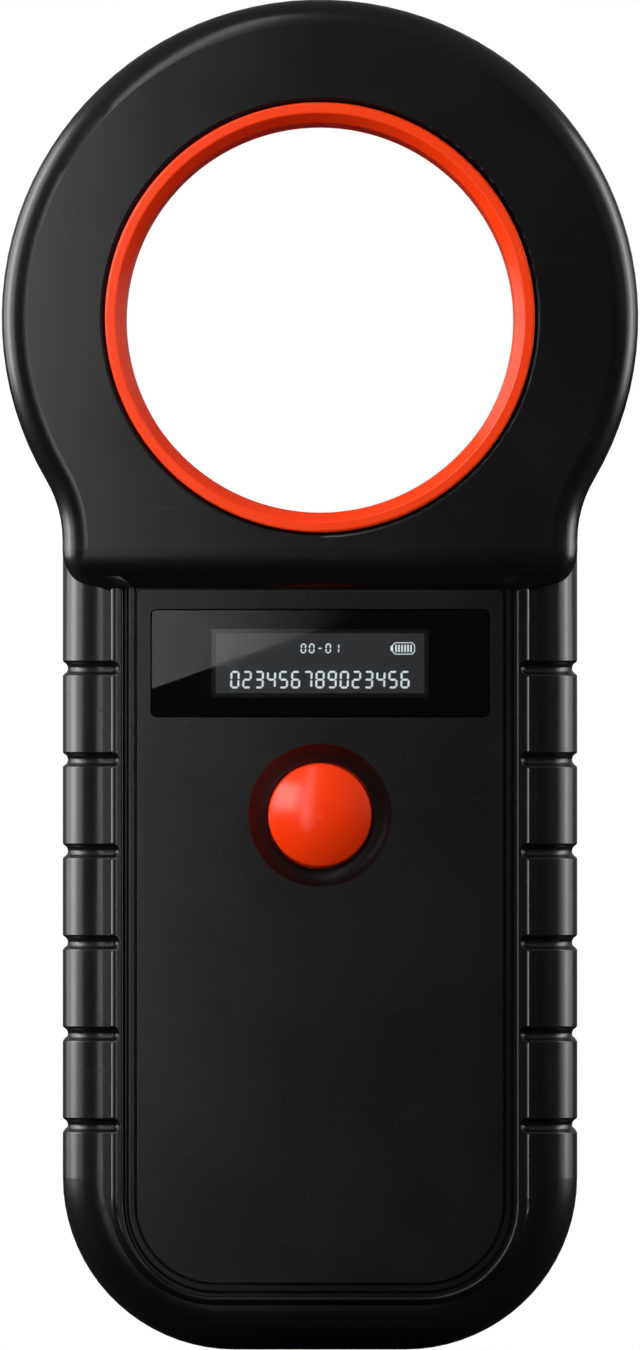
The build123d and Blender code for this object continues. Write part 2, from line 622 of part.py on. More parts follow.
# ================================================================ board and components
with BuildPart() as main_board:
    slab(
        BOARD_LOW_F, BOARD_HIGH_F, 2 * BOARD_HALF, BOARD_TOP - BOARD_SHOULDER,
        at=(0, (BOARD_TOP + BOARD_SHOULDER) / 2), radius=1.5,
    )
    slab(
        BOARD_LOW_F, BOARD_HIGH_F, 2 * BOARD_TONGUE, BOARD_SHOULDER - BOARD_BOTTOM + 4,
        at=(0, (BOARD_SHOULDER + 4 + BOARD_BOTTOM) / 2), radius=1.5,
    )
    disc(BOARD_LOW_F, BOARD_HIGH_F, BOARD_SHANK_R + 0.15, at=BOARD_SCREWS, mode=Mode.SUBTRACT)
save(main_board, "main_board")


def chip(name, at, width, height, tall, pins=0, pitch=0.8, on_back=False):
    """Writes a packaged part on the board, with its legs when it has any."""
    side = -1 if on_back else 1
    seat = BOARD_LOW_F if on_back else BOARD_HIGH_F
    with BuildPart() as package:
        with BuildSketch(depth(seat + side * 0.1)) as body:
            with Locations(at):
                RectangleRounded(width, height, 0.2)
        extrude(body.sketch, amount=side * (tall - 0.1))
        chamfer(package.faces().sort_by(Axis.Y)[-1 if on_back else 0].edges(), 0.12)
        with BuildSketch(depth(seat)) as legs:
            with Locations(at):
                if pins:
                    with GridLocations(width + 0.4, pitch, 2, pins):
                        Rectangle(1.0, 0.35)
                    with GridLocations(pitch, height + 0.4, pins, 2):
                        Rectangle(0.35, 1.0)
                else:
                    Rectangle(width - 0.4, height - 0.4)
        extrude(legs.sketch, amount=side * 0.35)
    save(package, name)


def small_parts(name, places, width, height, tall):
    """Writes a group of identical two-terminal parts."""
    with BuildPart() as group:
        with BuildSketch(depth(BOARD_HIGH_F)) as bodies:
            with Locations(*places):
                RectangleRounded(width, height, 0.1)
        extrude(bodies.sketch, amount=tall)
    save(group, name)


chip("controller_chip", (0, -4), 7, 7, 1.2, pins=7)
chip("reader_chip", (13, 6), 5, 5, 1.2, pins=4)
chip("charge_chip", (-7, -32), 3, 3, 0.9)
chip("crystal_can", (9.5, -6), 3.2, 2.5, 0.8)
small_parts("tuning_capacitors", [(-16, 2 + 2.6 * i) for i in range(4)], 3.2, 1.6, 1.2)
resistor_places = [(-12 + 2.4 * i, -14) for i in range(11)] + [(-8, -10 + 2.4 * i) for i in range(5)]
small_parts("board_passives", resistor_places, 1.0, 1.7, 0.5)

with BuildPart() as buzzer:
    with BuildSketch(depth(BOARD_LOW_F)) as buzzer_face:
        with Locations(BUZZER_AT):
            Circle(4.5)
    extrude(buzzer_face.sketch, amount=-4)
    chamfer(buzzer.faces().sort_by(Axis.Y)[-1].edges(), 0.3)
    disc(BOARD_LOW_F - 4, BOARD_LOW_F - 3, 0.8, at=BUZZER_AT, mode=Mode.SUBTRACT)
save(buzzer, "buzzer")

# ================================================================ charging port
PORT_Z = BOTTOM_Z + 0.9
with BuildPart() as port_shell:
    with BuildSketch(Plane.XY.offset(PORT_Z)) as port_outside:
        RectangleRounded(PORT_W, PORT_H, PORT_H / 2 - 0.01)
    extrude(amount=PORT_L)
    with BuildSketch(Plane.XY.offset(PORT_Z)) as port_inside:
        RectangleRounded(PORT_W - 0.6, PORT_H - 0.6, PORT_H / 2 - 0.32)
    extrude(amount=PORT_L - 0.6, mode=Mode.SUBTRACT)
save(port_shell, "port_shell")

with BuildPart() as port_tongue:
    with BuildSketch(Plane.XY.offset(PORT_Z + 0.8)) as tongue:
        RectangleRounded(6.7, 0.7, 0.2)
    extrude(amount=PORT_L - 1.4)
    with BuildSketch(Plane.XY.offset(PORT_Z + PORT_L - 1.8)) as tongue_root:
        RectangleRounded(PORT_W - 0.7, PORT_H - 0.7, PORT_H / 2 - 0.4)
    extrude(amount=1.2)
save(port_tongue, "port_tongue")

# ================================================================ battery and its lead
with BuildPart() as battery_pad:
    slab(BACK_INNER_F, BATTERY_LOW_F, BATTERY_W - 4, BATTERY_H - 6, at=(0, BATTERY_Z), radius=1)
save(battery_pad, "battery_pad")

with BuildPart() as battery_cell:
    slab(BATTERY_LOW_F, BATTERY_HIGH_F, BATTERY_W, BATTERY_H, at=(0, BATTERY_Z), radius=2)
    fillet(battery_cell.faces().sort_by(Axis.Y)[0].edges(), 1.2)
save(battery_cell, "battery_cell")

with BuildPart() as battery_header:
    slab(HEADER_LOW_F, BOARD_LOW_F, 6, 6, at=(-6, HEADER_Z), radius=0.3)
    slab(HEADER_LOW_F + 0.6, BOARD_LOW_F - 0.4, 4, 4.6, at=(-4.5, HEADER_Z), mode=Mode.SUBTRACT)
save(battery_header, "battery_header")

with BuildPart() as battery_plug:
    slab(HEADER_LOW_F + 0.7, BOARD_LOW_F - 0.5, 5, 4.4, at=(-3.9, HEADER_Z), radius=0.2)
save(battery_plug, "battery_plug")


def wire(name, points, radii, wire_r=WIRE_R):
    """Writes one insulated wire along straight runs joined by tangent arcs."""
    with BuildPart() as lead:
        with BuildLine() as route:
            FilletPolyline(*points, radius=radii)
        with BuildSketch(Plane(origin=route.line @ 0, z_dir=route.line % 0)):
            Circle(wire_r)
        sweep()
    save(lead, name)


battery_end = BATTERY_Z + BATTERY_H / 2
lead_y = -(HEADER_LOW_F + BOARD_LOW_F) / 2
for name, step in (("battery_lead_red", 1.0), ("battery_lead_black", -1.0)):
    wire(
        name,
        [
            (-1.4, lead_y, HEADER_Z + step),
            (LEAD_X - 2.5 + step, lead_y + 0.3, HEADER_Z + step),
            (LEAD_X + step, lead_y + 3.0, HEADER_Z - 2.8 + step),
            (LEAD_X + step, LEAD_END_Y, battery_end + 3.6),
            (LEAD_X + step, LEAD_END_Y, battery_end),
        ],
        [1.8, 1.6, 1.4],
    )

# ================================================================ antenna lead
with BuildPart() as coil_header:
    slab(HEADER_LOW_F, BOARD_LOW_F, 6, 5, at=(COIL_HEADER_X, BOARD_TOP - 3), radius=0.3)
    slab(HEADER_LOW_F + 0.6, BOARD_LOW_F - 0.4, 4.6, 3.5, at=(COIL_HEADER_X, BOARD_TOP - 1.8), mode=Mode.SUBTRACT)
save(coil_header, "coil_header")

with BuildPart() as coil_plug:
    slab(HEADER_LOW_F + 0.7, BOARD_LOW_F - 0.5, 4.4, 4, at=(COIL_HEADER_X, BOARD_TOP - 1.5), radius=0.2)
save(coil_plug, "coil_plug")

for name, step in (("coil_lead_start", -1.0), ("coil_lead_finish", 1.0)):
    wire(
        name,
        [
            (COIL_HEADER_X + step, lead_y, BOARD_TOP + 0.5),
            (COIL_HEADER_X + step, lead_y, BOARD_TOP + 3.0),
            (COIL_HEADER_X + 1.2 + step, lead_y - 0.3, BOARD_TOP + 4.9 + step * 0.3),
        ],
        [2.0],
        wire_r=0.3,
    )

# ================================================================ fasteners
with BuildPart() as case_screws:
    disc(SCREW_SEAT_F - 1.4, SCREW_SEAT_F, CASE_HEAD_R, at=CASE_SCREWS)
    disc(SCREW_SEAT_F, CASE_PILOT_F - 0.6, CASE_SHANK_R, at=CASE_SCREWS)
    disc(SCREW_SEAT_F - 1.4, SCREW_SEAT_F - 0.5, 0.9, at=CASE_SCREWS, mode=Mode.SUBTRACT)
save(case_screws, "case_screws")

with BuildPart() as board_screws:
    disc(BOARD_LOW_F - 1.0, BOARD_LOW_F, 1.6, at=BOARD_SCREWS)
    disc(BOARD_LOW_F, SHELL_INNER_F - 0.5, BOARD_SHANK_R, at=BOARD_SCREWS)
    disc(BOARD_LOW_F - 1.0, BOARD_LOW_F - 0.5, 0.6, at=BOARD_SCREWS, mode=Mode.SUBTRACT)
save(board_screws, "board_screws")
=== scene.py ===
"""Ring reader for implanted animal tags: finishes, display, screws, winding and studio.

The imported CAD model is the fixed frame. Its housings, ring, panel, window and button
keep their own shape and get procedural finishes here. The display's lit content, the
case screws and the antenna winding are built as finer pieces on the same frame.
Metres throughout: +X is the reader's right, +Y runs from its face into its body.
"""

import functools
import logging
import math
from dataclasses import dataclass, field
from enum import Enum
from typing import Any, Iterable

import bpy
from mathutils import Matrix, Vector

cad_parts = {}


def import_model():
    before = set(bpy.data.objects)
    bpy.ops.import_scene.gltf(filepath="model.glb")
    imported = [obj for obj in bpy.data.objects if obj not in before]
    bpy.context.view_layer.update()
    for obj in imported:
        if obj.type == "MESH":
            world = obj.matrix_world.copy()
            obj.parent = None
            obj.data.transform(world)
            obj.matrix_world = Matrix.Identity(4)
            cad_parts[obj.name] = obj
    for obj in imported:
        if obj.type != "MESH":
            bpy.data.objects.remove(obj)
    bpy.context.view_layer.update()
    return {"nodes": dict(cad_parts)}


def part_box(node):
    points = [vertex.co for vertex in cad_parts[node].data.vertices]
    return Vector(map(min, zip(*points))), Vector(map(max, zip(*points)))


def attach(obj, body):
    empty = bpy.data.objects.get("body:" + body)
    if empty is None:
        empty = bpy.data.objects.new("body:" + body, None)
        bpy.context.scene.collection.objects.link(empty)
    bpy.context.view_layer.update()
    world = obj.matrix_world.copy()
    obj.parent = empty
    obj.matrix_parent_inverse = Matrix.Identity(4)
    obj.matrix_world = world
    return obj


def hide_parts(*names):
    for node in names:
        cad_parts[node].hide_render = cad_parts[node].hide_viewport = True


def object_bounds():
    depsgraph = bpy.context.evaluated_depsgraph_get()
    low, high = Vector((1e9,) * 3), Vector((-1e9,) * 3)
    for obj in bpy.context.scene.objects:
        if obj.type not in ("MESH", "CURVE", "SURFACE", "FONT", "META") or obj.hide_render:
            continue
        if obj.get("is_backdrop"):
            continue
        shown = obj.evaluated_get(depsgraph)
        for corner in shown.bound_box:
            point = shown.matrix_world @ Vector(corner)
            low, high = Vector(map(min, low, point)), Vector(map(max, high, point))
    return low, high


log = logging.getLogger("ring_reader")

MM = 0.001
Node = bpy.types.Node
Socket = bpy.types.NodeSocket
Tree = bpy.types.NodeTree


# ---------------------------------------------------------------- small node helpers
def linear(code: str) -> tuple[float, float, float, float]:
    """Turns a six-digit screen colour into linear light.

    Args:
        code: The colour as six hexadecimal digits.

    Returns:
        Red, green, blue and alpha in linear light.
    """
    parts = []
    for start in (0, 2, 4):
        value = int(code[start : start + 2], 16) / 255
        parts.append(value / 12.92 if value <= 0.04045 else ((value + 0.055) / 1.055) ** 2.4)
    return (parts[0], parts[1], parts[2], 1.0)


class NodeDesk:
    """Places and links nodes in one node tree."""

    def __init__(self, tree: Tree) -> None:
        """Keeps the tree that the nodes go into."""
        self.tree = tree

    def add(self, kind: str, **settings: Any) -> Node:
        """Adds a node of a kind and sets its attributes."""
        node = self.tree.nodes.new(kind)
        for name, value in settings.items():
            setattr(node, name, value)
        return node

    def feed(self, source: Any, target: Socket) -> None:
        """Links a socket to an input, or sets the input to a plain value.

        Args:
            source: An output socket, a node whose first output is meant, a colour code, or a value.
            target: The input socket to fill.
        """
        if isinstance(source, Node):
            source = source.outputs[0]
        if isinstance(source, str):
            source = linear(source)
        if isinstance(source, Socket):
            self.tree.links.new(source, target)
        else:
            target.default_value = source

    def fill(self, node: Node, **values: Any) -> Node:
        """Feeds a node's named inputs, with underscores for spaces, and returns the node."""
        for name, value in values.items():
            self.feed(value, node.inputs[name.replace("_", " ")])
        return node

    def math(self, operation: str, *values: Any, clamp: bool = False) -> Socket:
        """Adds a Math node.

        Args:
            operation: The Math node's operation.
            values: Its operands, as sockets or numbers.
            clamp: Whether the result is kept between 0 and 1.

        Returns:
            The result's socket.
        """
        node = self.add("ShaderNodeMath", operation=operation, use_clamp=clamp)
        for slot, value in zip(node.inputs, values):
            self.feed(value, slot)
        return node.outputs[0]

    def times(self, one: Any, other: Any, clamp: bool = False) -> Socket:
        """The product of two values."""
        return self.math("MULTIPLY", one, other, clamp=clamp)

    def minus(self, one: Any, other: Any) -> Socket:
        """The difference of two values."""
        return self.math("SUBTRACT", one, other)

    def blend(self, factor: Any, low: Any, high: Any) -> Socket:
        """Mixes two colours by a factor and returns the mixed colour's socket."""
        node = self.add("ShaderNodeMix", data_type="RGBA")
        for slot, item in zip((0, 6, 7), (factor, low, high)):
            self.feed(item, node.inputs[slot])
        return node.outputs[2]

    def span(self, value: Any, low: float, high: float, to_low: float, to_high: float) -> Socket:
        """Maps a value from one range to another, clamped, with soft ends.

        Args:
            value: The value's socket.
            low: Where the source range starts.
            high: Where the source range ends.
            to_low: The result at the start.
            to_high: The result at the end.

        Returns:
            The mapped value's socket.
        """
        node = self.add("ShaderNodeMapRange", interpolation_type="SMOOTHSTEP")
        for slot, item in zip(node.inputs, (value, low, high, to_low, to_high)):
            self.feed(item, slot)
        return node.outputs[0]

    def split(self, vector: Any) -> Any:
        """The x, y and z sockets of a vector."""
        node = self.add("ShaderNodeSeparateXYZ")
        self.feed(vector, node.inputs[0])
        return node.outputs

    def place(self) -> Socket:
        """Where the shaded point is on the object."""
        return self.add("ShaderNodeTexCoord").outputs["Object"]

    def texture(self, kind: str, place: Any, size_mm: Any, **inputs: Any) -> Node:
        """Adds a texture whose features have a size in millimetres, and returns its node."""
        scale = self.math("DIVIDE", 1 / MM, size_mm)
        return self.fill(self.add(kind), Vector=place, Scale=scale, **inputs)


# ---------------------------------------------------------------- shared surface effects
class SurfaceEffects:
    """Shader node groups that several finishes share, each built once."""

    @staticmethod
    def _start(name: str, inputs: dict[str, float], outputs: tuple[str, ...]) -> tuple[NodeDesk, Any, Any]:
        """Starts a shader group with named float sockets.

        Args:
            name: The group's name.
            inputs: Its inputs and their defaults.
            outputs: Its outputs.

        Returns:
            A desk on the group, its input sockets, and its output node's sockets.
        """
        tree = bpy.data.node_groups.new(name, "ShaderNodeTree")
        for label, default in inputs.items():
            socket = tree.interface.new_socket(label, in_out="INPUT", socket_type="NodeSocketFloat")
            socket.default_value = default
        for label in outputs:
            tree.interface.new_socket(label, in_out="OUTPUT", socket_type="NodeSocketFloat")
        desk = NodeDesk(tree)
        return desk, desk.add("NodeGroupInput").outputs, desk.add("NodeGroupOutput").inputs

    @staticmethod
    @functools.cache
    def moulded_grain() -> Tree:
        """Fine mould texture (Tone, Height) with slow drifts in tone (Drift)."""
        sizes = {"Grain Size mm": 0.12, "Drift Size mm": 14.0}
        desk, given, result = SurfaceEffects._start("Moulded Grain", sizes, ("Tone", "Drift", "Height"))
        place = desk.place()
        cells = desk.texture("ShaderNodeTexVoronoi", place, given["Grain Size mm"])
        speck = desk.texture("ShaderNodeTexNoise", place, given["Grain Size mm"], Detail=1)
        drift = desk.texture("ShaderNodeTexNoise", place, given["Drift Size mm"], Detail=2)
        desk.feed(speck, result["Tone"])
        desk.feed(desk.span(drift, 0.3, 0.7, 0.0, 1.0), result["Drift"])
        desk.feed(desk.math("ADD", cells.outputs["Distance"], desk.times(speck, 0.5)), result["Height"])
        return desk.tree

    @staticmethod
    @functools.cache
    def edge_polish() -> Tree:
        """Where handling polishes a moulding: its rounded edges, unevenly (Polish)."""
        sizes = {"Amount": 0.5, "Patch Size mm": 5.0}
        desk, given, result = SurfaceEffects._start("Edge Polish", sizes, ("Polish",))
        facing = desk.split(desk.add("ShaderNodeNewGeometry").outputs["Normal"])[1]
        flat = desk.times(facing, facing)
        rounded = desk.times(desk.times(flat, desk.minus(1.0, flat)), 4.0, clamp=True)
        patches = desk.texture("ShaderNodeTexNoise", desk.place(), given["Patch Size mm"], Detail=2)
        uneven = desk.span(patches, 0.35, 0.65, 0.35, 1.0)
        desk.feed(desk.times(desk.times(rounded, uneven), given["Amount"]), result["Polish"])
        return desk.tree

    @staticmethod
    @functools.cache
    def settled_dust() -> Tree:
        """Sparse dust specks (Dust) and fine hairline rubs (Rubs)."""
        sizes = {"Speck Size mm": 0.5, "Rub Length mm": 6.0}
        desk, given, result = SurfaceEffects._start("Settled Dust", sizes, ("Dust", "Rubs"))
        place = desk.place()
        specks = desk.texture("ShaderNodeTexVoronoi", place, given["Speck Size mm"])
        desk.feed(desk.span(specks.outputs["Distance"], 0.0, 0.16, 1.0, 0.0), result["Dust"])
        stretched = desk.fill(
            desk.add("ShaderNodeMapping"), Vector=place, Scale=(0.12, 1.0, 3.0), Rotation=(0.0, 0.5, 0.0)
        )
        rubs = desk.texture("ShaderNodeTexNoise", stretched, given["Rub Length mm"], Detail=3)
        desk.feed(desk.span(rubs, 0.6, 0.72, 0.0, 1.0), result["Rubs"])
        return desk.tree


# ---------------------------------------------------------------- finishes
class Material:
    """A new node material with its principled shader and a desk to work on."""

    def __init__(self, name: str) -> None:
        """Starts the material under a name."""
        self.data = bpy.data.materials.new(name)
        self.data.use_nodes = True
        self.desk = NodeDesk(self.data.node_tree)
        self.shader = self.data.node_tree.nodes["Principled BSDF"]

    def set(self, **values: Any) -> None:
        """Feeds the shader's inputs; an underscore stands for a space."""
        self.desk.fill(self.shader, **values)

    def grain(self, **values: float) -> Any:
        """Places the moulded grain and returns its outputs."""
        return self.effect(SurfaceEffects.moulded_grain(), **values)

    def effect(self, tree: Tree, **values: float) -> Any:
        """Places a shared effect.

        Args:
            tree: The shader node group.
            values: Its inputs, with underscores for spaces.

        Returns:
            The group node's outputs.
        """
        node = self.desk.add("ShaderNodeGroup")
        node.node_tree = tree
        return self.desk.fill(node, **values).outputs

    def bump(self, height: Any, strength: float, depth_mm: float) -> None:
        """Drives the shader's normal by a height with a strength and a depth."""
        node = self.desk.add("ShaderNodeBump")
        self.set(Normal=self.desk.fill(node, Strength=strength, Distance=depth_mm * MM, Height=height))

    def surface(self, shader: Any) -> None:
        """Puts another shader in the principled shader's place."""
        self.desk.feed(shader, self.data.node_tree.nodes["Material Output"].inputs["Surface"])


@dataclass(frozen=True)
class Look:
    """A named finish that knows how to wire itself."""

    name: str

    def build(self) -> bpy.types.Material:
        """Makes the material and returns it."""
        made = Material(self.name)
        self.wire(made, made.desk)
        return made.data

    def wire(self, made: Material, desk: NodeDesk) -> None:
        """Wires the finish's own nodes."""
        raise NotImplementedError


@dataclass(frozen=True)
class MouldedPlastic(Look):
    """Injection-moulded plastic with mould grain, tone drift, polished edges and dust."""

    colour: str
    tone: str
    roughness: float = 0.4
    roughness_drift: float = 0.015
    polish: float = 0.5
    grain_mm: float = 0.12
    grain_depth_mm: float = 0.01
    grain_strength: float = 0.12
    dust: float = 0.05
    gloss: float = 0.5
    ior: float = 1.48
    drift_share: float = 0.45
    speckle_share: float = 0.4
    polish_tint: float = 0.35
    polish_smooth: float = 0.06
    rub_rough: float = 0.03
    dust_colour: str = "b9b4ac"

    def wire(self, made: Material, desk: NodeDesk) -> None:
        """Wires colour, roughness and relief."""
        grain = made.grain(Grain_Size_mm=self.grain_mm)
        edge = made.effect(SurfaceEffects.edge_polish(), Amount=self.polish)["Polish"]
        dust = made.effect(SurfaceEffects.settled_dust())
        speckle = desk.times(grain["Tone"], self.speckle_share)
        drift = desk.math("ADD", desk.times(grain["Drift"], self.drift_share), speckle, clamp=True)
        body = desk.blend(drift, self.colour, self.tone)
        worn = desk.blend(desk.times(edge, self.polish_tint), body, self.tone)
        dusty = desk.blend(desk.times(dust["Dust"], self.dust), worn, self.dust_colour)
        low, high = self.roughness - self.roughness_drift, self.roughness + self.roughness_drift
        rough = desk.span(grain["Drift"], 0.0, 1.0, low, high)
        polished = desk.minus(rough, desk.times(edge, self.polish_smooth))
        rubbed = desk.math("ADD", polished, desk.times(dust["Rubs"], self.rub_rough), clamp=True)
        made.set(Base_Color=dusty, Roughness=rubbed, Specular_IOR_Level=self.gloss, IOR=self.ior)
        made.bump(grain["Height"], self.grain_strength, self.grain_depth_mm)


@dataclass(frozen=True)
class ClearPane(Look):
    """Clear glazing: a plain transmitting body with faint smears on its surface."""

    tint: str
    roughness: float = 0.0
    smear: float = 0.015
    ior: float = 1.49
    tint_drift: str = "e9eef0"

    def wire(self, made: Material, desk: NodeDesk) -> None:
        """Wires tint, smears and transmission."""
        grain = made.grain(Grain_Size_mm=0.4, Drift_Size_mm=6.0)
        dust = made.effect(SurfaceEffects.settled_dust(), Speck_Size_mm=0.8)["Dust"]
        tint = desk.blend(desk.times(grain["Drift"], 0.3), self.tint, self.tint_drift)
        smeared = desk.span(grain["Drift"], 0.0, 1.0, self.roughness, self.roughness + self.smear)
        spoiled = desk.math("ADD", smeared, desk.times(dust, 0.02), clamp=True)
        made.set(Base_Color=tint, Roughness=spoiled, Transmission_Weight=1.0, Metallic=0.0, IOR=self.ior)


@dataclass(frozen=True)
class WorkedMetal(Look):
    """Bare or plated metal with fine drawing marks and slight tarnish."""

    colour: str
    tarnish: str
    roughness: float = 0.3
    grain_mm: float = 0.08

    def wire(self, made: Material, desk: NodeDesk) -> None:
        """Wires tarnish, polish and relief."""
        grain = made.grain(Grain_Size_mm=self.grain_mm, Drift_Size_mm=2.5)
        edge = made.effect(SurfaceEffects.edge_polish(), Amount=0.6, Patch_Size_mm=1.5)["Polish"]
        colour = desk.blend(grain["Drift"], self.colour, self.tarnish)
        bright = desk.blend(edge, colour, self.colour)
        rough = desk.span(grain["Tone"], 0.3, 0.7, self.roughness - 0.07, self.roughness + 0.09)
        made.set(Base_Color=bright, Roughness=rough, Metallic=1.0)
        made.bump(grain["Height"], 0.15, 0.01)


@dataclass(frozen=True)
class CircuitLaminate(Look):
    """Solder-masked board: traces run as a faint relief under the mask."""

    mask: str
    trace: str
    pitch_mm: float = 1.27
    trace_mm: float = 0.03

    def wire(self, made: Material, desk: NodeDesk) -> None:
        """Wires the traces and the mask over them."""
        grain = made.grain(Grain_Size_mm=0.3, Drift_Size_mm=9.0)
        bricks = desk.add("ShaderNodeTexBrick")
        scale = 1 / (self.pitch_mm * MM) / 4
        runs = desk.fill(bricks, Vector=desk.place(), Scale=scale, Mortar_Size=0.03).outputs["Fac"]
        traced = desk.blend(runs, self.mask, self.trace)
        colour = desk.blend(desk.times(grain["Drift"], 0.25), traced, self.mask)
        made.set(Base_Color=colour, Roughness=desk.span(grain["Tone"], 0.3, 0.7, 0.28, 0.4))
        made.bump(runs, 0.3, self.trace_mm)


@dataclass(frozen=True)
class WrappedFoil(Look):
    """Pouch foil: soft wrinkles in a satin metal film."""

    colour: str
    crease: str
    crease_mm: float = 0.12

    def wire(self, made: Material, desk: NodeDesk) -> None:
        """Wires the wrinkles."""
        wrinkles = made.grain(Grain_Size_mm=2.2, Drift_Size_mm=12.0)
        colour = desk.blend(wrinkles["Drift"], self.colour, self.crease)
        rough = desk.span(wrinkles["Tone"], 0.3, 0.7, 0.3, 0.45)
        made.set(Base_Color=colour, Roughness=rough, Metallic=0.85)
        made.bump(wrinkles["Height"], 0.35, self.crease_mm)


@dataclass(frozen=True)
class BlankLabel(Look):
    """A printed label with a border, ruled fields and no lettering."""

    ground: str
    ink: str
    half_w_mm: float = 19.0
    half_h_mm: float = 13.0
    centre_z_mm: float = 12.0
    border_mm: float = 1.6
    line_mm: float = 0.35
    rule_at_mm: float = 3.6
    rule_half_mm: float = 0.12
    ground_drift: str = "8d9194"

    def wire(self, made: Material, desk: NodeDesk) -> None:
        """Wires the border and the ruled fields over the paper."""
        place = desk.split(desk.place())
        up = desk.math("ABSOLUTE", desk.minus(place[2], self.centre_z_mm * MM))
        side = desk.minus(desk.math("ABSOLUTE", place[0]), (self.half_w_mm - self.border_mm) * MM)
        top = desk.minus(up, (self.half_h_mm - self.border_mm) * MM)
        edge = desk.math("MAXIMUM", side, top)
        border = desk.math("LESS_THAN", desk.math("ABSOLUTE", edge), self.line_mm / 2 * MM)
        inside = desk.math("LESS_THAN", edge, 0.0)
        from_rule = desk.math("ABSOLUTE", desk.minus(up, self.rule_at_mm * MM))
        rule = desk.math("LESS_THAN", from_rule, self.rule_half_mm * MM)
        printed = desk.math("MAXIMUM", border, desk.times(rule, inside))
        grain = made.grain(Grain_Size_mm=0.25)
        paper = desk.blend(desk.times(grain["Drift"], 0.3), self.ground, self.ground_drift)
        rough = desk.span(grain["Tone"], 0.3, 0.7, 0.42, 0.55)
        made.set(Base_Color=desk.blend(printed, paper, self.ink), Roughness=rough)
        made.bump(grain["Height"], 0.1, 0.01)


@dataclass(frozen=True)
class LitArea(Look):
    """Part of the display that gives light, with faint unevenness from cell to cell."""

    base: str
    glow: str
    strength: float
    uneven: float = 0.15
    base_drift: str = "101214"

    def wire(self, made: Material, desk: NodeDesk) -> None:
        """Wires the glow over a dark base."""
        grain = made.grain(Grain_Size_mm=0.2, Drift_Size_mm=7.0)
        dim = tuple(channel * (1 - self.uneven) for channel in linear(self.glow)[:3]) + (1.0,)
        glow = desk.blend(grain["Drift"], dim, self.glow)
        base = desk.blend(grain["Tone"], self.base, self.base_drift)
        rough = desk.span(grain["Tone"], 0.3, 0.7, 0.35, 0.45)
        made.set(Emission_Color=glow, Base_Color=base, Roughness=rough, Emission_Strength=self.strength)


def glossy_orange(name: str, colour: str, tone: str, roughness: float) -> MouldedPlastic:
    """The orange of the ring and the button: finer grain and less dust than the housing."""
    shared = {"polish": 0.3, "grain_strength": 0.05, "dust": 0.02, "gloss": 0.3}
    return MouldedPlastic(name, colour, tone, roughness, **shared)


class Finish(Enum):
    """Every finish on the reader."""

    HOUSING = MouldedPlastic("housing_satin", "111112", "151516", roughness=0.25, polish=0.15)
    PANEL = MouldedPlastic("panel_satin", "111112", "151516", roughness=0.28, polish=0.05)
    RING = glossy_orange("ring_orange_gloss", "f23a0b", "f64210", 0.3)
    BUTTON = glossy_orange("button_orange_gloss", "ef3407", "f43c0b", 0.26)
    WINDOW = ClearPane("window_acrylic", "f4f7f8")
    GLASS = ClearPane("display_glass_pane", "eef2f2", ior=1.52)
    MASK = MouldedPlastic(
        "mask_print", "050506", "08080a", roughness=0.6, grain_strength=0.03, dust=0.0, gloss=0.1
    )
    POLARIZER = MouldedPlastic(
        "polarizer_sheet", "06070a", "0a0c10", roughness=0.4, grain_strength=0.02, dust=0.0, gloss=0.2
    )
    FOAM = MouldedPlastic("foam_gasket", "101012", "1b1b1d", roughness=0.85, grain_mm=0.5, grain_strength=0.8)
    FLEX = MouldedPlastic("flex_film_amber", "a65e12", "bb7420", roughness=0.3, grain_strength=0.05, dust=0.0)
    CHIP = MouldedPlastic("chip_epoxy", "141416", "1d1d20", roughness=0.55, grain_mm=0.06, grain_strength=0.3)
    CERAMIC = MouldedPlastic("capacitor_ceramic", "a5845a", "b8966a", roughness=0.5, grain_mm=0.1)
    NYLON = MouldedPlastic("connector_nylon", "d8d4c6", "e4e1d5", roughness=0.5, grain_strength=0.1)
    BOBBIN = MouldedPlastic("bobbin_plastic", "131315", "1c1c1f", roughness=0.5, grain_strength=0.15)
    LEAD_RED = MouldedPlastic("lead_jacket_red", "8e0f0c", "a3201a", roughness=0.45, grain_strength=0.1)
    LEAD_BLACK = MouldedPlastic("lead_jacket_black", "0e0e0f", "18181a", roughness=0.45, grain_strength=0.1)
    BOARD = CircuitLaminate("board_mask", "0a3a1e", "155c31")
    COPPER = WorkedMetal("copper_enamel", "b4542a", "8a3a1a", roughness=0.28)
    STEEL = WorkedMetal("steel_plated", "b9bcc0", "989ba0", roughness=0.3)
    SCREW = WorkedMetal("screw_black_oxide", "2b2b2e", "1c1c1f", roughness=0.36)
    FOIL = WrappedFoil("battery_pouch", "a9adb2", "8d9297")
    LABEL = BlankLabel("label_print", "9a9ea1", "26282a")
    FIELD = LitArea("display_field", "0e0f10", "29292a", 0.95)
    SEGMENT = LitArea("display_segments", "c9d6de", "e6ecef", 0.9, uneven=0.08)

    @functools.cache
    def material(self) -> bpy.types.Material:
        """The finish's material, built on its first use."""
        return self.value.build()


# ---------------------------------------------------------------- pieces from node trees
def metres(**sizes: float) -> dict[str, Any]:
    """Tree inputs in metres from sizes in millimetres; an underscore stands for a space."""
    return {name.replace("_", " "): size * MM for name, size in sizes.items()}


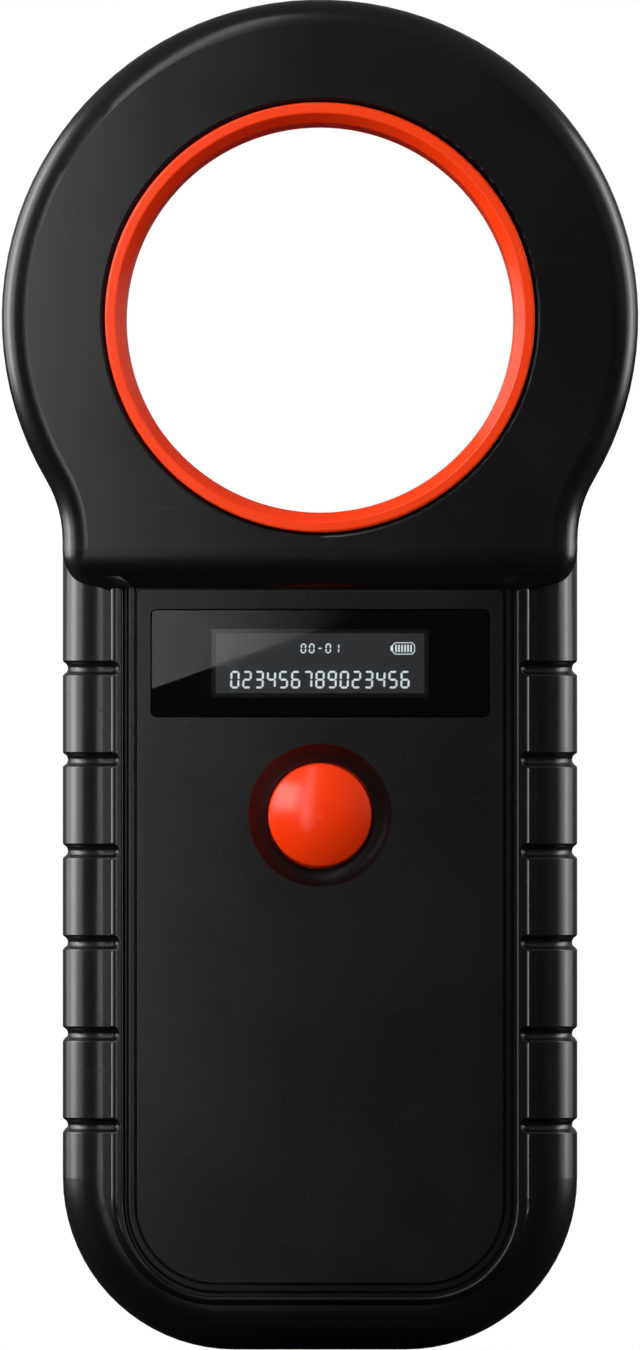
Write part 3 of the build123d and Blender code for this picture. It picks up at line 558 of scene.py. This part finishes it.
class PieceTree(NodeDesk):
    """A Geometry Nodes tree under construction, with named inputs."""

    def __init__(self, name: str, lengths: Iterable[str], counts: Iterable[str] = ()) -> None:
        """Starts the tree.

        Args:
            name: The tree's name.
            lengths: Its float inputs.
            counts: Its whole-number inputs.
        """
        super().__init__(bpy.data.node_groups.new(name, "GeometryNodeTree"))
        kinds = [("Geometry", "Geometry"), *((label, "Float") for label in lengths)]
        kinds += [*((label, "Int") for label in counts), ("Finish", "Material")]
        for label, kind in kinds:
            self.tree.interface.new_socket(label, in_out="INPUT", socket_type=f"NodeSocket{kind}")
        self.tree.interface.new_socket("Geometry", in_out="OUTPUT", socket_type="NodeSocketGeometry")
        self.given = self.add("NodeGroupInput")

    def __getitem__(self, name: str) -> Socket:
        """The socket of a named input."""
        return self.given.outputs[name]

    def vector(self, x: Any = 0.0, y: Any = 0.0, z: Any = 0.0) -> Socket:
        """A vector from three sockets or numbers."""
        return self.fill(self.add("ShaderNodeCombineXYZ"), X=x, Y=y, Z=z).outputs[0]

    def where(self) -> Any:
        """The x, y and z sockets of each point's position."""
        return self.split(self.add("GeometryNodeInputPosition"))

    def block(self, x: Any, y: Any, z: Any) -> Node:
        """A solid block of a size, centred at the origin."""
        return self.fill(self.add("GeometryNodeMeshCube"), Size=self.vector(x, y, z))

    def row(self, count: Any, start: Any, step: Any) -> Node:
        """Points in a straight row, from their count, the first point and the step to the next."""
        return self.fill(self.add("GeometryNodeMeshLine"), Count=count, Start_Location=start, Offset=step)

    def place(self, points: Any, shape: Any, chosen: Any = True) -> Node:
        """Puts a shape at each of the chosen points."""
        node = self.add("GeometryNodeInstanceOnPoints")
        return self.fill(node, Points=points, Instance=shape, Selection=chosen)

    def moved(self, shape: Any, offset: Any, turn: float = 0.0) -> Node:
        """A shape turned about z, in radians, and shifted."""
        node = self.add("GeometryNodeTransform")
        return self.fill(node, Geometry=shape, Translation=offset, Rotation=(0, 0, turn))

    def rounded(self) -> Node:
        """The outline Width by Height with its corners rounded to Corner."""
        outline = self.add("GeometryNodeCurvePrimitiveQuadrilateral")
        self.fill(outline, Width=self["Width"], Height=self["Height"])
        return self.fill(self.add("GeometryNodeFilletCurve"), Curve=outline, Radius=self["Corner"])

    def swept(self, path: Any, profile: Any, caps: bool = False) -> Node:
        """A profile carried along a path, closed at its ends or not."""
        node = self.add("GeometryNodeCurveToMesh")
        return self.fill(node, Curve=path, Profile_Curve=profile, Fill_Caps=caps)

    def several(self, kind: str, slot: str, shapes: Iterable[Any], **settings: Any) -> Node:
        """A node that takes several shapes in one input."""
        node = self.add(kind, **settings)
        for shape in shapes:
            self.feed(shape, node.inputs[slot])
        return node

    def joined(self, *shapes: Any) -> Node:
        """All shapes as one geometry."""
        return self.several("GeometryNodeJoinGeometry", "Geometry", shapes)

    def finish(self, shape: Any) -> Tree:
        """Ends the tree in Realize Instances and Set Material, and returns it."""
        solid = self.fill(self.add("GeometryNodeRealizeInstances"), Geometry=shape)
        dressed = self.fill(self.add("GeometryNodeSetMaterial"), Geometry=solid, Material=self["Finish"])
        self.feed(dressed, self.add("NodeGroupOutput").inputs[0])
        return self.tree


def piece_from_tree(
    name: str, tree: Tree, values: dict[str, Any], finish: Finish, place: Matrix, points: Any = ()
) -> bpy.types.Object:
    """Runs a tree once and keeps its result as a plain mesh piece.

    Args:
        name: The piece's name.
        tree: The Geometry Nodes tree.
        values: Values for the tree's named inputs.
        finish: The finish the piece wears.
        place: Where the tree's own axes go on the frame.
        points: Points handed to the tree as its geometry, if it takes any.

    Returns:
        The piece, at the origin, with its place in its mesh.
    """
    start = bpy.data.meshes.new(f"{name}_start")
    start.from_pydata([tuple(point) for point in points], [], [])
    piece = bpy.data.objects.new(name, start)
    bpy.context.scene.collection.objects.link(piece)
    modifier = piece.modifiers.new("build", "NODES")
    modifier.node_group = tree
    given = {**values, "Finish": finish.material()}
    for socket in tree.interface.items_tree:
        if socket.item_type == "SOCKET" and socket.in_out == "INPUT" and socket.name in given:
            modifier[socket.identifier] = given[socket.name]
    evaluated = piece.evaluated_get(bpy.context.evaluated_depsgraph_get())
    plain = bpy.data.meshes.new_from_object(evaluated)
    piece.modifiers.remove(modifier)
    piece.data = plain
    plain.name = name
    plain.transform(place)
    bpy.data.meshes.remove(start)
    log.info("%s: %d faces", name, len(plain.polygons))
    return piece


def facing_front(x: float, y: float, z: float) -> Matrix:
    """Puts a flat layout on the reader's face: its x stays, its y goes up, its z to the viewer."""
    return Matrix.Translation((x, y, z)) @ Matrix.Rotation(math.radians(90), 4, "X")


# ---------------------------------------------------------------- the display's content
class Segment(Enum):
    """The seven bars of a numeral: letter, across share, up share, and whether it stands."""

    TOP = ("a", 0.0, 0.5, False)
    UPPER_RIGHT = ("b", 0.5, 0.25, True)
    LOWER_RIGHT = ("c", 0.5, -0.25, True)
    BOTTOM = ("d", 0.0, -0.5, False)
    LOWER_LEFT = ("e", -0.5, -0.25, True)
    UPPER_LEFT = ("f", -0.5, 0.25, True)
    MIDDLE = ("g", 0.0, 0.0, False)

    @property
    def label(self) -> str:
        """The bar's name as a tree input."""
        return self.name.replace("_", " ").title() + " Mask"


SIGNS = "0123456789-"
SIGN_BARS = "abcdef bc abged abgcd fgbc afgcd afgecd abc abcdefg abcdfg g"
NUMERAL_BARS = dict(zip(SIGNS, SIGN_BARS.split()))


@dataclass
class NumeralRow:
    """A row of seven-bar numerals, in millimetres, centred on its place."""

    text: str
    width: float
    height: float
    pitch: float
    stroke: float
    slant: float = 0.03

    @staticmethod
    @functools.cache
    def tree() -> Tree:
        """The tree that lays out a row of numerals, built once."""
        lengths = ("Width", "Height", "Pitch", "Stroke", "Thickness", "Slant")
        made = PieceTree("Numeral Row", lengths, ("Count", *(bar.label for bar in Segment)))
        spare = made.minus(made["Count"], 1.0)
        first = made.times(made.times(spare, made["Pitch"]), -0.5)
        points = made.row(made["Count"], made.vector(first), made.vector(made["Pitch"]))
        index = made.add("GeometryNodeInputIndex")
        gap = made.times(made["Stroke"], 0.25)
        lying = made.minus(made["Width"], gap)
        standing = made.minus(made.times(made["Height"], 0.5), gap)
        bars = []
        for bar in Segment:
            _, across, up, stands = bar.value
            shape = NumeralRow._bar(made, standing if stands else lying)
            offset = made.vector(made.times(made["Width"], across), made.times(made["Height"], up))
            put = made.moved(shape, offset, math.pi / 2 if stands else 0.0)
            shifted = made.math("DIVIDE", made[bar.label], made.math("POWER", 2.0, index))
            odd = made.math("MODULO", made.math("FLOOR", shifted), 2.0)
            bars.append(made.place(points, put, made.math("GREATER_THAN", odd, 0.5)))
        solid = made.fill(made.add("GeometryNodeRealizeInstances"), Geometry=made.joined(*bars))
        push = made.vector(made.times(made.where()[1], made["Slant"]))
        return made.finish(made.fill(made.add("GeometryNodeSetPosition"), Geometry=solid, Offset=push))

    @staticmethod
    def _bar(made: PieceTree, length: Any) -> Node:
        """One bar with pointed ends, lying along x.

        Args:
            made: The tree being built.
            length: The bar's length.

        Returns:
            The bar's node.
        """
        six = made.add("GeometryNodeMeshCylinder", fill_type="NGON")
        made.fill(six, Vertices=6, Radius=1.0, Depth=made["Thickness"])
        x, y, z = made.where()
        end = made.math("GREATER_THAN", made.math("ABSOLUTE", x), 0.75)
        half = made.times(length, 0.5)
        point = made.times(made.minus(1.0, end), made.times(made["Stroke"], 0.5))
        wide = made.times(made.math("GREATER_THAN", made.math("ABSOLUTE", y), 0.1), 0.5)
        new_x = made.times(made.math("SIGN", x), made.minus(half, point))
        new_y = made.times(made.math("SIGN", y), made.times(wide, made["Stroke"]))
        drawn = made.add("GeometryNodeSetPosition")
        return made.fill(drawn, Geometry=six, Position=made.vector(new_x, new_y, z))

    def masks(self) -> dict[str, int]:
        """For each bar, a number whose binary digits say which numerals light it."""
        found = {}
        for bar in Segment:
            letter = bar.value[0]
            found[bar.label] = sum(
                1 << spot for spot, sign in enumerate(self.text) if letter in NUMERAL_BARS[sign]
            )
        return found

    def build(self, name: str, at: Vector, thickness: float) -> bpy.types.Object:
        """Makes the row.

        Args:
            name: The piece's name.
            at: The row's centre on the frame, in metres.
            thickness: How thick the bars are, in millimetres.

        Returns:
            The row's piece.
        """
        values = metres(
            Width=self.width, Height=self.height, Pitch=self.pitch, Stroke=self.stroke, Thickness=thickness
        )
        values.update(self.masks(), Slant=self.slant, Count=len(self.text))
        return piece_from_tree(name, self.tree(), values, Finish.SEGMENT, facing_front(*at))


@dataclass
class ChargeGauge:
    """The battery sign, in millimetres: an outline, a terminal at its left and a row of bars."""

    width: float = 2.6
    height: float = 1.35
    wall: float = 0.12
    corner: float = 0.3
    bars: int = 6
    terminal_w: float = 0.25
    terminal_h: float = 0.6

    def build(self, name: str, at: Vector, thickness: float) -> bpy.types.Object:
        """Makes the sign.

        Args:
            name: The piece's name.
            at: Its centre on the frame, in metres.
            thickness: How thick it is, in millimetres.

        Returns:
            The sign's piece.
        """
        values = metres(
            Width=self.width,
            Height=self.height,
            Wall=self.wall,
            Corner=self.corner,
            Terminal_Width=self.terminal_w,
            Terminal_Height=self.terminal_h,
            Thickness=thickness,
        )
        made = PieceTree("Charge Gauge", values, ("Bars",))
        deep, wall = made["Thickness"], made["Wall"]
        profile = made.add("GeometryNodeCurvePrimitiveQuadrilateral")
        outline = made.swept(made.rounded(), made.fill(profile, Width=wall, Height=deep))
        inner = made.minus(made["Width"], made.times(wall, 4.0))
        step = made.math("DIVIDE", inner, made["Bars"])
        tall = made.minus(made["Height"], made.times(wall, 4.0))
        bar = made.block(made.times(step, 0.6), tall, deep)
        first = made.times(made.minus(inner, step), -0.5)
        bars = made.place(made.row(made["Bars"], made.vector(first), made.vector(step)), bar)
        knob = made.block(made["Terminal Width"], made["Terminal Height"], deep)
        reach = made.math("ADD", made["Width"], made["Terminal Width"])
        knob = made.moved(knob, made.vector(made.times(reach, -0.5)))
        tree = made.finish(made.joined(outline, bars, knob))
        values["Bars"] = self.bars
        return piece_from_tree(name, tree, values, Finish.SEGMENT, facing_front(*at))


@dataclass
class Display:
    """What the display shows behind its window. Sizes are in millimetres."""

    field_w: float = 24.7
    field_h: float = 7.1
    field_thick: float = 0.08
    field_corner: float = 0.15
    field_clear: float = 0.03
    numeral_thick: float = 0.03
    numbers: NumeralRow = field(default_factory=lambda: NumeralRow("023456789023456", 0.85, 1.84, 1.44, 0.25))
    numbers_at: tuple[float, float] = (0.0, -1.95)
    code: NumeralRow = field(default_factory=lambda: NumeralRow("00-01", 0.5, 1.0, 0.98, 0.17))
    code_at: tuple[float, float] = (0.0, 1.75)
    gauge: ChargeGauge = field(default_factory=ChargeGauge)
    gauge_at: tuple[float, float] = (9.9, 1.75)

    def build(self) -> None:
        """Makes the lit field and what is shown on it."""
        low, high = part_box("display_window")
        film_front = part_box("display_polarizer")[0].y
        centre = (low + high) / 2
        field_y = film_front - (self.field_clear + self.field_thick / 2) * MM
        pieces = [self._field(Vector((centre.x, field_y, centre.z)))]
        front = field_y - (self.field_thick / 2 + self.numeral_thick) * MM
        shown = (
            ("display_numbers", self.numbers, self.numbers_at),
            ("display_code", self.code, self.code_at),
            ("display_gauge", self.gauge, self.gauge_at),
        )
        for name, sign, (across, up) in shown:
            at = Vector((centre.x + across * MM, front, centre.z + up * MM))
            pieces.append(sign.build(name, at, self.numeral_thick))
        for piece in pieces:
            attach(piece, "reader")

    def _field(self, at: Vector) -> bpy.types.Object:
        """The faintly lit field: a thin plate with rounded corners, centred on a place in metres."""
        values = metres(
            Width=self.field_w, Height=self.field_h, Thickness=self.field_thick, Corner=self.field_corner
        )
        made = PieceTree("Display Field", values)
        outline = made.rounded()
        back, front = (made.vector(0, 0, made.times(made["Thickness"], share)) for share in (-0.5, 0.5))
        path = made.fill(made.add("GeometryNodeCurvePrimitiveLine"), Start=back, End=front)
        tree = made.finish(made.swept(path, outline, caps=True))
        return piece_from_tree("display_field", tree, values, Finish.FIELD, facing_front(*at))


# ---------------------------------------------------------------- fasteners and winding
@dataclass
class CaseScrews:
    """The four screws that hold the back on, with a cross recess and a turned thread.

    Sizes are in millimetres; x and z place each screw on the back.
    """

    places: tuple[tuple[float, float], ...] = ((-24.5, 46.0), (24.5, 46.0), (-21.5, -33.0), (21.5, -33.0))
    head_r: float = 1.85
    rim_h: float = 0.9
    dome_h: float = 0.5
    dome_r: float = 1.35
    shank_r: float = 0.72
    tip_share: float = 0.6
    thread_r: float = 0.98
    thread_pitch: float = 0.8
    recess_w: float = 0.5
    recess_reach: float = 2.1
    recess_deep: float = 1.0
    head_sides: int = 40
    shank_sides: int = 24

    def build(self) -> None:
        """Makes the screws in place of their plain solids."""
        low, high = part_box("case_screws")
        seat = high.y - (self.rim_h + self.dome_h) * MM
        shank = seat - low.y
        values = metres(
            Head_Radius=self.head_r,
            Rim_Height=self.rim_h,
            Dome_Height=self.dome_h,
            Dome_Radius=self.dome_r,
            Shank_Radius=self.shank_r,
            Thread_Radius=self.thread_r,
            Thread_Pitch=self.thread_pitch,
            Recess_Width=self.recess_w,
            Recess_Reach=self.recess_reach,
            Recess_Depth=self.recess_deep,
        )
        values["Shank Length"] = shank
        tree = self._tree(values)
        values["Turns"] = int(shank / (self.thread_pitch * MM)) - 1
        # the layout's z points out of the back, and its y runs down the handle
        to_back = Matrix.Rotation(math.radians(-90), 4, "X")
        points = [(x * MM, -z * MM, seat) for x, z in self.places]
        piece = piece_from_tree("case_screws_turned", tree, values, Finish.SCREW, to_back, points)
        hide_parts("case_screws")
        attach(piece, "reader")

    def _tree(self, lengths: Iterable[str]) -> Tree:
        """The tree that turns one screw and sets it at each given point.

        Args:
            lengths: The tree's float inputs.

        Returns:
            The Geometry Nodes tree.
        """
        made = PieceTree("Turned Screws", lengths, ("Turns",))
        head_r, dome_r, rim_h, dome_h = (
            made[label] for label in ("Head Radius", "Dome Radius", "Rim Height", "Dome Height")
        )
        shank_r, thread_r, pitch = made["Shank Radius"], made["Thread Radius"], made["Thread Pitch"]
        wide, reach, deep = made["Recess Width"], made["Recess Reach"], made["Recess Depth"]

        def turned(low_r: Any, high_r: Any, height: Any, base: Any, sides: int) -> Node:
            """A turned length that tapers between two radii, standing on a height."""
            cone = made.add("GeometryNodeMeshCone", fill_type="NGON")
            made.fill(cone, Vertices=sides, Radius_Top=high_r, Radius_Bottom=low_r, Depth=height)
            return made.moved(cone, made.vector(0, 0, base))

        rim = turned(head_r, head_r, rim_h, 0.0, self.head_sides)
        dome = turned(head_r, dome_r, dome_h, rim_h, self.head_sides)
        recess_base = made.minus(made.math("ADD", rim_h, dome_h), made.times(deep, 0.5))
        lift = made.vector(0, 0, made.math("ADD", recess_base, made.times(deep, 0.5)))
        tall = made.times(deep, 2.0)
        slots = [made.moved(made.block(*size, tall), lift) for size in ((reach, wide), (wide, reach))]
        boolean = "GeometryNodeMeshBoolean"
        head = made.several(boolean, "Mesh 2", (rim, dome), operation="UNION", solver="EXACT")
        cut = made.several(boolean, "Mesh 2", slots, operation="DIFFERENCE", solver="EXACT")
        made.feed(head, cut.inputs["Mesh 1"])
        length, sides = made["Shank Length"], self.shank_sides
        core = turned(made.times(shank_r, self.tip_share), shank_r, length, made.times(length, -1.0), sides)
        half = made.times(pitch, 0.5)
        turn = made.joined(
            turned(shank_r, thread_r, half, made.times(half, -1.0), sides),
            turned(thread_r, shank_r, half, 0.0, sides),
        )
        down = made.vector(0, 0, made.times(pitch, -1.0))
        thread = made.place(made.row(made["Turns"], down, down), turn)
        return made.finish(made.place(made["Geometry"], made.joined(cut, core, thread)))


@dataclass
class AntennaWinding:
    """The antenna's wire, turn beside turn, in place of its plain solid ring."""

    wire_mm: float = 0.42
    wire_share: float = 0.49
    layer_share: float = 0.87
    layers: int = 2
    around: int = 120
    wire_sides: int = 6

    def build(self) -> None:
        """Makes the winding inside the space of its CAD node."""
        low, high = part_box("antenna_coil")
        wire = self.wire_mm * MM
        height = high.y - low.y
        turns = int(height / wire)
        values: dict[str, Any] = {
            "Outer Radius": (high.x - low.x) / 2 - wire / 2,
            "Wire": wire,
            "Step": height / turns,
        }
        counts = {"Turns": turns, "Around": self.around, "Wire Sides": self.wire_sides}
        made = PieceTree("Antenna Winding", values, counts)
        circle = "GeometryNodeCurvePrimitiveCircle"
        layers = []
        for layer in range(self.layers):
            radius = made.minus(made["Outer Radius"], made.times(made["Wire"], self.layer_share * layer))
            ring = made.fill(made.add(circle), Resolution=made["Around"], Radius=radius)
            wire_r = made.times(made["Wire"], self.wire_share)
            section = made.fill(made.add(circle), Resolution=made["Wire Sides"], Radius=wire_r)
            count = made.minus(made["Turns"], float(layer))
            first = made.times(made.times(made.minus(count, 1.0), made["Step"]), -0.5)
            row = made.row(count, made.vector(0, 0, first), made.vector(0, 0, made["Step"]))
            layers.append(made.place(row, made.swept(ring, section)))
        tree = made.finish(made.joined(*layers))
        values.update(counts)
        centre = (low + high) / 2
        piece = piece_from_tree("antenna_winding", tree, values, Finish.COPPER, facing_front(*centre))
        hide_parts("antenna_coil")
        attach(piece, "reader")


# ---------------------------------------------------------------- the carried-over nodes
@dataclass
class Subassembly:
    """A group of CAD nodes that keep their shape, listed under the name of each one's finish."""

    name: str
    finishes: dict[str, str]

    def dress(self, nodes: dict[str, bpy.types.Object]) -> None:
        """Gives each node its finish.

        Args:
            nodes: The frame's CAD nodes by name.
        """
        for finish, names in self.finishes.items():
            for node in names.split():
                slots = nodes[node].data.materials
                slots.clear()
                slots.append(Finish[finish].material())
                log.info("%s: %s in %s", self.name, node, finish)


SHELL = {
    "HOUSING": "front_housing back_housing",
    "PANEL": "face_panel",
    "RING": "ring_liner",
    "LABEL": "rating_label",
    "SCREW": "case_screws",
}
ANTENNA = {
    "BOBBIN": "coil_bobbin",
    "COPPER": "antenna_coil",
    "LEAD_RED": "coil_lead_start",
    "LEAD_BLACK": "coil_lead_finish",
    "NYLON": "coil_plug coil_header",
}
DISPLAY = {
    "WINDOW": "display_window",
    "MASK": "window_mask",
    "FOAM": "display_gasket",
    "POLARIZER": "display_polarizer",
    "GLASS": "display_glass",
    "BOBBIN": "display_holder",
    "FLEX": "display_flex",
    "NYLON": "display_connector",
}
BUTTON = {
    "BUTTON": "button_cap",
    "CHIP": "switch_body",
    "STEEL": "switch_cover switch_terminals",
    "LEAD_BLACK": "switch_plunger",
}
ELECTRONICS = {
    "BOARD": "main_board",
    "CERAMIC": "board_passives tuning_capacitors",
    "STEEL": "board_screws crystal_can port_shell",
    "CHIP": "controller_chip reader_chip charge_chip buzzer port_tongue",
    "FOIL": "battery_cell",
    "FOAM": "battery_pad",
    "NYLON": "battery_header battery_plug",
    "LEAD_RED": "battery_lead_red",
    "LEAD_BLACK": "battery_lead_black",
}
SUBASSEMBLIES = (
    Subassembly("shell", SHELL),
    Subassembly("antenna", ANTENNA),
    Subassembly("display", DISPLAY),
    Subassembly("button", BUTTON),
    Subassembly("electronics", ELECTRONICS),
)


# ---------------------------------------------------------------- studio
@dataclass
class SoftLight:
    """A rectangular studio light. Sizes and places are in metres, power in watts."""

    name: str
    place: tuple[float, float, float]
    width: float
    height: float
    power: float
    aim: tuple[float, float, float] = (0.0, 0.0, 0.035)
    only: tuple[str, ...] = ()

    def build(self, nodes: dict[str, bpy.types.Object]) -> None:
        """Adds the light to the scene.

        Args:
            nodes: The frame's CAD nodes, for a light that reaches only some of them.
        """
        data = bpy.data.lights.new(self.name, "AREA")
        data.shape = "RECTANGLE"
        data.size = self.width
        data.size_y = self.height
        data.energy = self.power
        lamp = bpy.data.objects.new(self.name, data)
        lamp.location = self.place
        toward = Vector(self.aim) - Vector(self.place)
        lamp.rotation_euler = toward.to_track_quat("-Z", "Y").to_euler()
        lamp.visible_camera = False
        bpy.context.scene.collection.objects.link(lamp)
        if self.only:
            reached = bpy.data.collections.new(f"{self.name}_reaches")
            for node in self.only:
                reached.objects.link(nodes[node])
            lamp.light_linking.receiver_collection = reached


@dataclass
class Studio:
    """Camera, lights, floor and surroundings. Metres and watts."""

    camera_distance: float = 2.2
    frame_height: float = 0.1605
    sensor: float = 36.0
    eye_height: float = 0.035
    floor_radius: float = 6.0
    floor_gap: float = 0.0004
    surround: float = 0.22
    camera_side: float = 0.055
    lights: tuple[SoftLight, ...] = (
        SoftLight("left_box", (-0.6, 0.05, 0.05), 0.75, 0.9, 6.2),
        SoftLight("left_core", (-0.58, 0.03, 0.05), 0.2, 0.9, 3.3),
        SoftLight("right_box", (0.6, 0.05, 0.05), 0.55, 0.9, 3.5),
        SoftLight("right_core", (0.58, 0.03, 0.05), 0.15, 0.9, 2.0),
        SoftLight("key_strip", (-0.055, -0.2, 0.08), 0.03, 0.45, 0.2),
        SoftLight("button_strip", (-0.23, -0.57, 0.06), 0.05, 0.5, 0.3, only=("button_cap",)),
        SoftLight("colour_fill", (-0.5, -0.5, 0.3), 0.4, 0.4, 4.4, only=("ring_liner", "button_cap")),
    )
    dark_from: tuple[float, float] = (0.8, 0.985)
    floor_sides: int = 96
    floor_dark: str = "2c2c2c"
    floor_pale: str = "ececec"
    horizon: tuple[float, float] = (0.72, 0.9)
    card_distance: float = 3.0
    card_shape: tuple[tuple[float, float], ...] = ((-0.07, 0.023), (-0.07, 0.075), (0.076, 0.075))
    card_glow: float = 1.7
    card_fade: tuple[float, float] = (-0.062, 0.02)

    def add_camera(self) -> None:
        """Makes the camera first, so that everything later can rely on it."""
        data = bpy.data.cameras.new("studio_camera")
        data.sensor_width = self.sensor
        data.sensor_fit = "AUTO"
        data.lens = self.sensor * self.camera_distance / self.frame_height
        camera = bpy.data.objects.new("studio_camera", data)
        camera.location = (0.0, -self.camera_distance, self.eye_height)
        camera.rotation_euler = (math.radians(90), 0.0, 0.0)
        bpy.context.scene.collection.objects.link(camera)
        bpy.context.scene.camera = camera

    def build(self, nodes: dict[str, bpy.types.Object]) -> None:
        """Adds the lights, the floor, the gloss card and the surroundings.

        Args:
            nodes: The frame's CAD nodes by name.
        """
        for light in self.lights:
            light.build(nodes)
            log.info("light: %s", light.name)
        self._surroundings()
        self._floor()
        self._gloss_card()

    def _surroundings(self) -> None:
        """White to the camera; to the object a dim grey, darker on the camera's side."""
        world = bpy.data.worlds.new("studio_world")
        bpy.context.scene.world = world
        world.use_nodes = True
        desk = NodeDesk(world.node_tree)
        seen = desk.add("ShaderNodeLightPath").outputs["Is Camera Ray"]
        toward = desk.split(desk.add("ShaderNodeTexCoord").outputs["Generated"])[1]
        lit = desk.span(desk.times(toward, -1.0), *self.dark_from, self.surround, self.camera_side)
        strength = desk.math("MAXIMUM", seen, lit)
        desk.fill(world.node_tree.nodes["Background"], Color=(1.0, 1.0, 1.0, 1.0), Strength=strength)
        bpy.context.scene.view_settings.view_transform = "Standard"

    @staticmethod
    def _set_piece(name: str, corners: list[tuple[float, float, float]], made: Material) -> bpy.types.Object:
        """A flat one-sided stage piece.

        Args:
            name: The piece's name.
            corners: Its corners, in order round it.
            made: What it wears.

        Returns:
            The piece.
        """
        mesh = bpy.data.meshes.new(name)
        mesh.from_pydata(corners, [], [tuple(range(len(corners)))])
        mesh.materials.append(made.data)
        piece = bpy.data.objects.new(name, mesh)
        bpy.context.scene.collection.objects.link(piece)
        return piece

    def _gloss_card(self) -> None:
        """A pale card far behind the camera, which the window mirrors as a slanting gloss."""
        made = Material("card_glow")
        across = made.desk.split(made.desk.place())[0]
        fade = made.desk.span(across, *self.card_fade, self.card_glow, 0.0)
        made.surface(made.desk.fill(made.desk.add("ShaderNodeEmission"), Strength=fade))
        corners = [(x, -self.card_distance, z) for x, z in self.card_shape]
        card = self._set_piece("gloss_card", corners, made)
        card.visible_camera = False
        card.visible_shadow = False
        card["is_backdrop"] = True

    def _floor(self) -> None:
        """A wide pale floor that turns plain white towards the horizon."""
        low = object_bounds()[0].z - self.floor_gap
        turns = (2 * math.pi * step / self.floor_sides for step in range(self.floor_sides))
        rim = [(self.floor_radius * math.cos(t), self.floor_radius * math.sin(t), low) for t in turns]
        made = Material("floor_paint")
        desk = made.desk
        seen = desk.add("ShaderNodeLightPath").outputs["Is Camera Ray"]
        paint = desk.blend(seen, self.floor_dark, self.floor_pale)
        made.set(Base_Color=paint, Roughness=0.8, Specular_IOR_Level=0.0)
        facing = desk.fill(desk.add("ShaderNodeLayerWeight"), Blend=0.5).outputs["Facing"]
        steep = desk.span(facing, *self.horizon, 0.0, 1.0)
        mixed = desk.add("ShaderNodeMixShader")
        for slot, item in enumerate((desk.times(steep, seen), made.shader, desk.add("ShaderNodeEmission"))):
            desk.feed(item, mixed.inputs[slot])
        made.surface(mixed)
        self._set_piece("studio_floor", rim, made)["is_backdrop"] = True


# ---------------------------------------------------------------- assembly
def main() -> None:
    logging.basicConfig(level=logging.INFO, format="%(name)s: %(message)s")
    studio = Studio()
    studio.add_camera()
    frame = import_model()
    for group in SUBASSEMBLIES:
        group.dress(frame["nodes"])
    Display().build()
    CaseScrews().build()
    AntennaWinding().build()
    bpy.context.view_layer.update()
    studio.build(frame["nodes"])


if __name__ == "__main__":
    main()
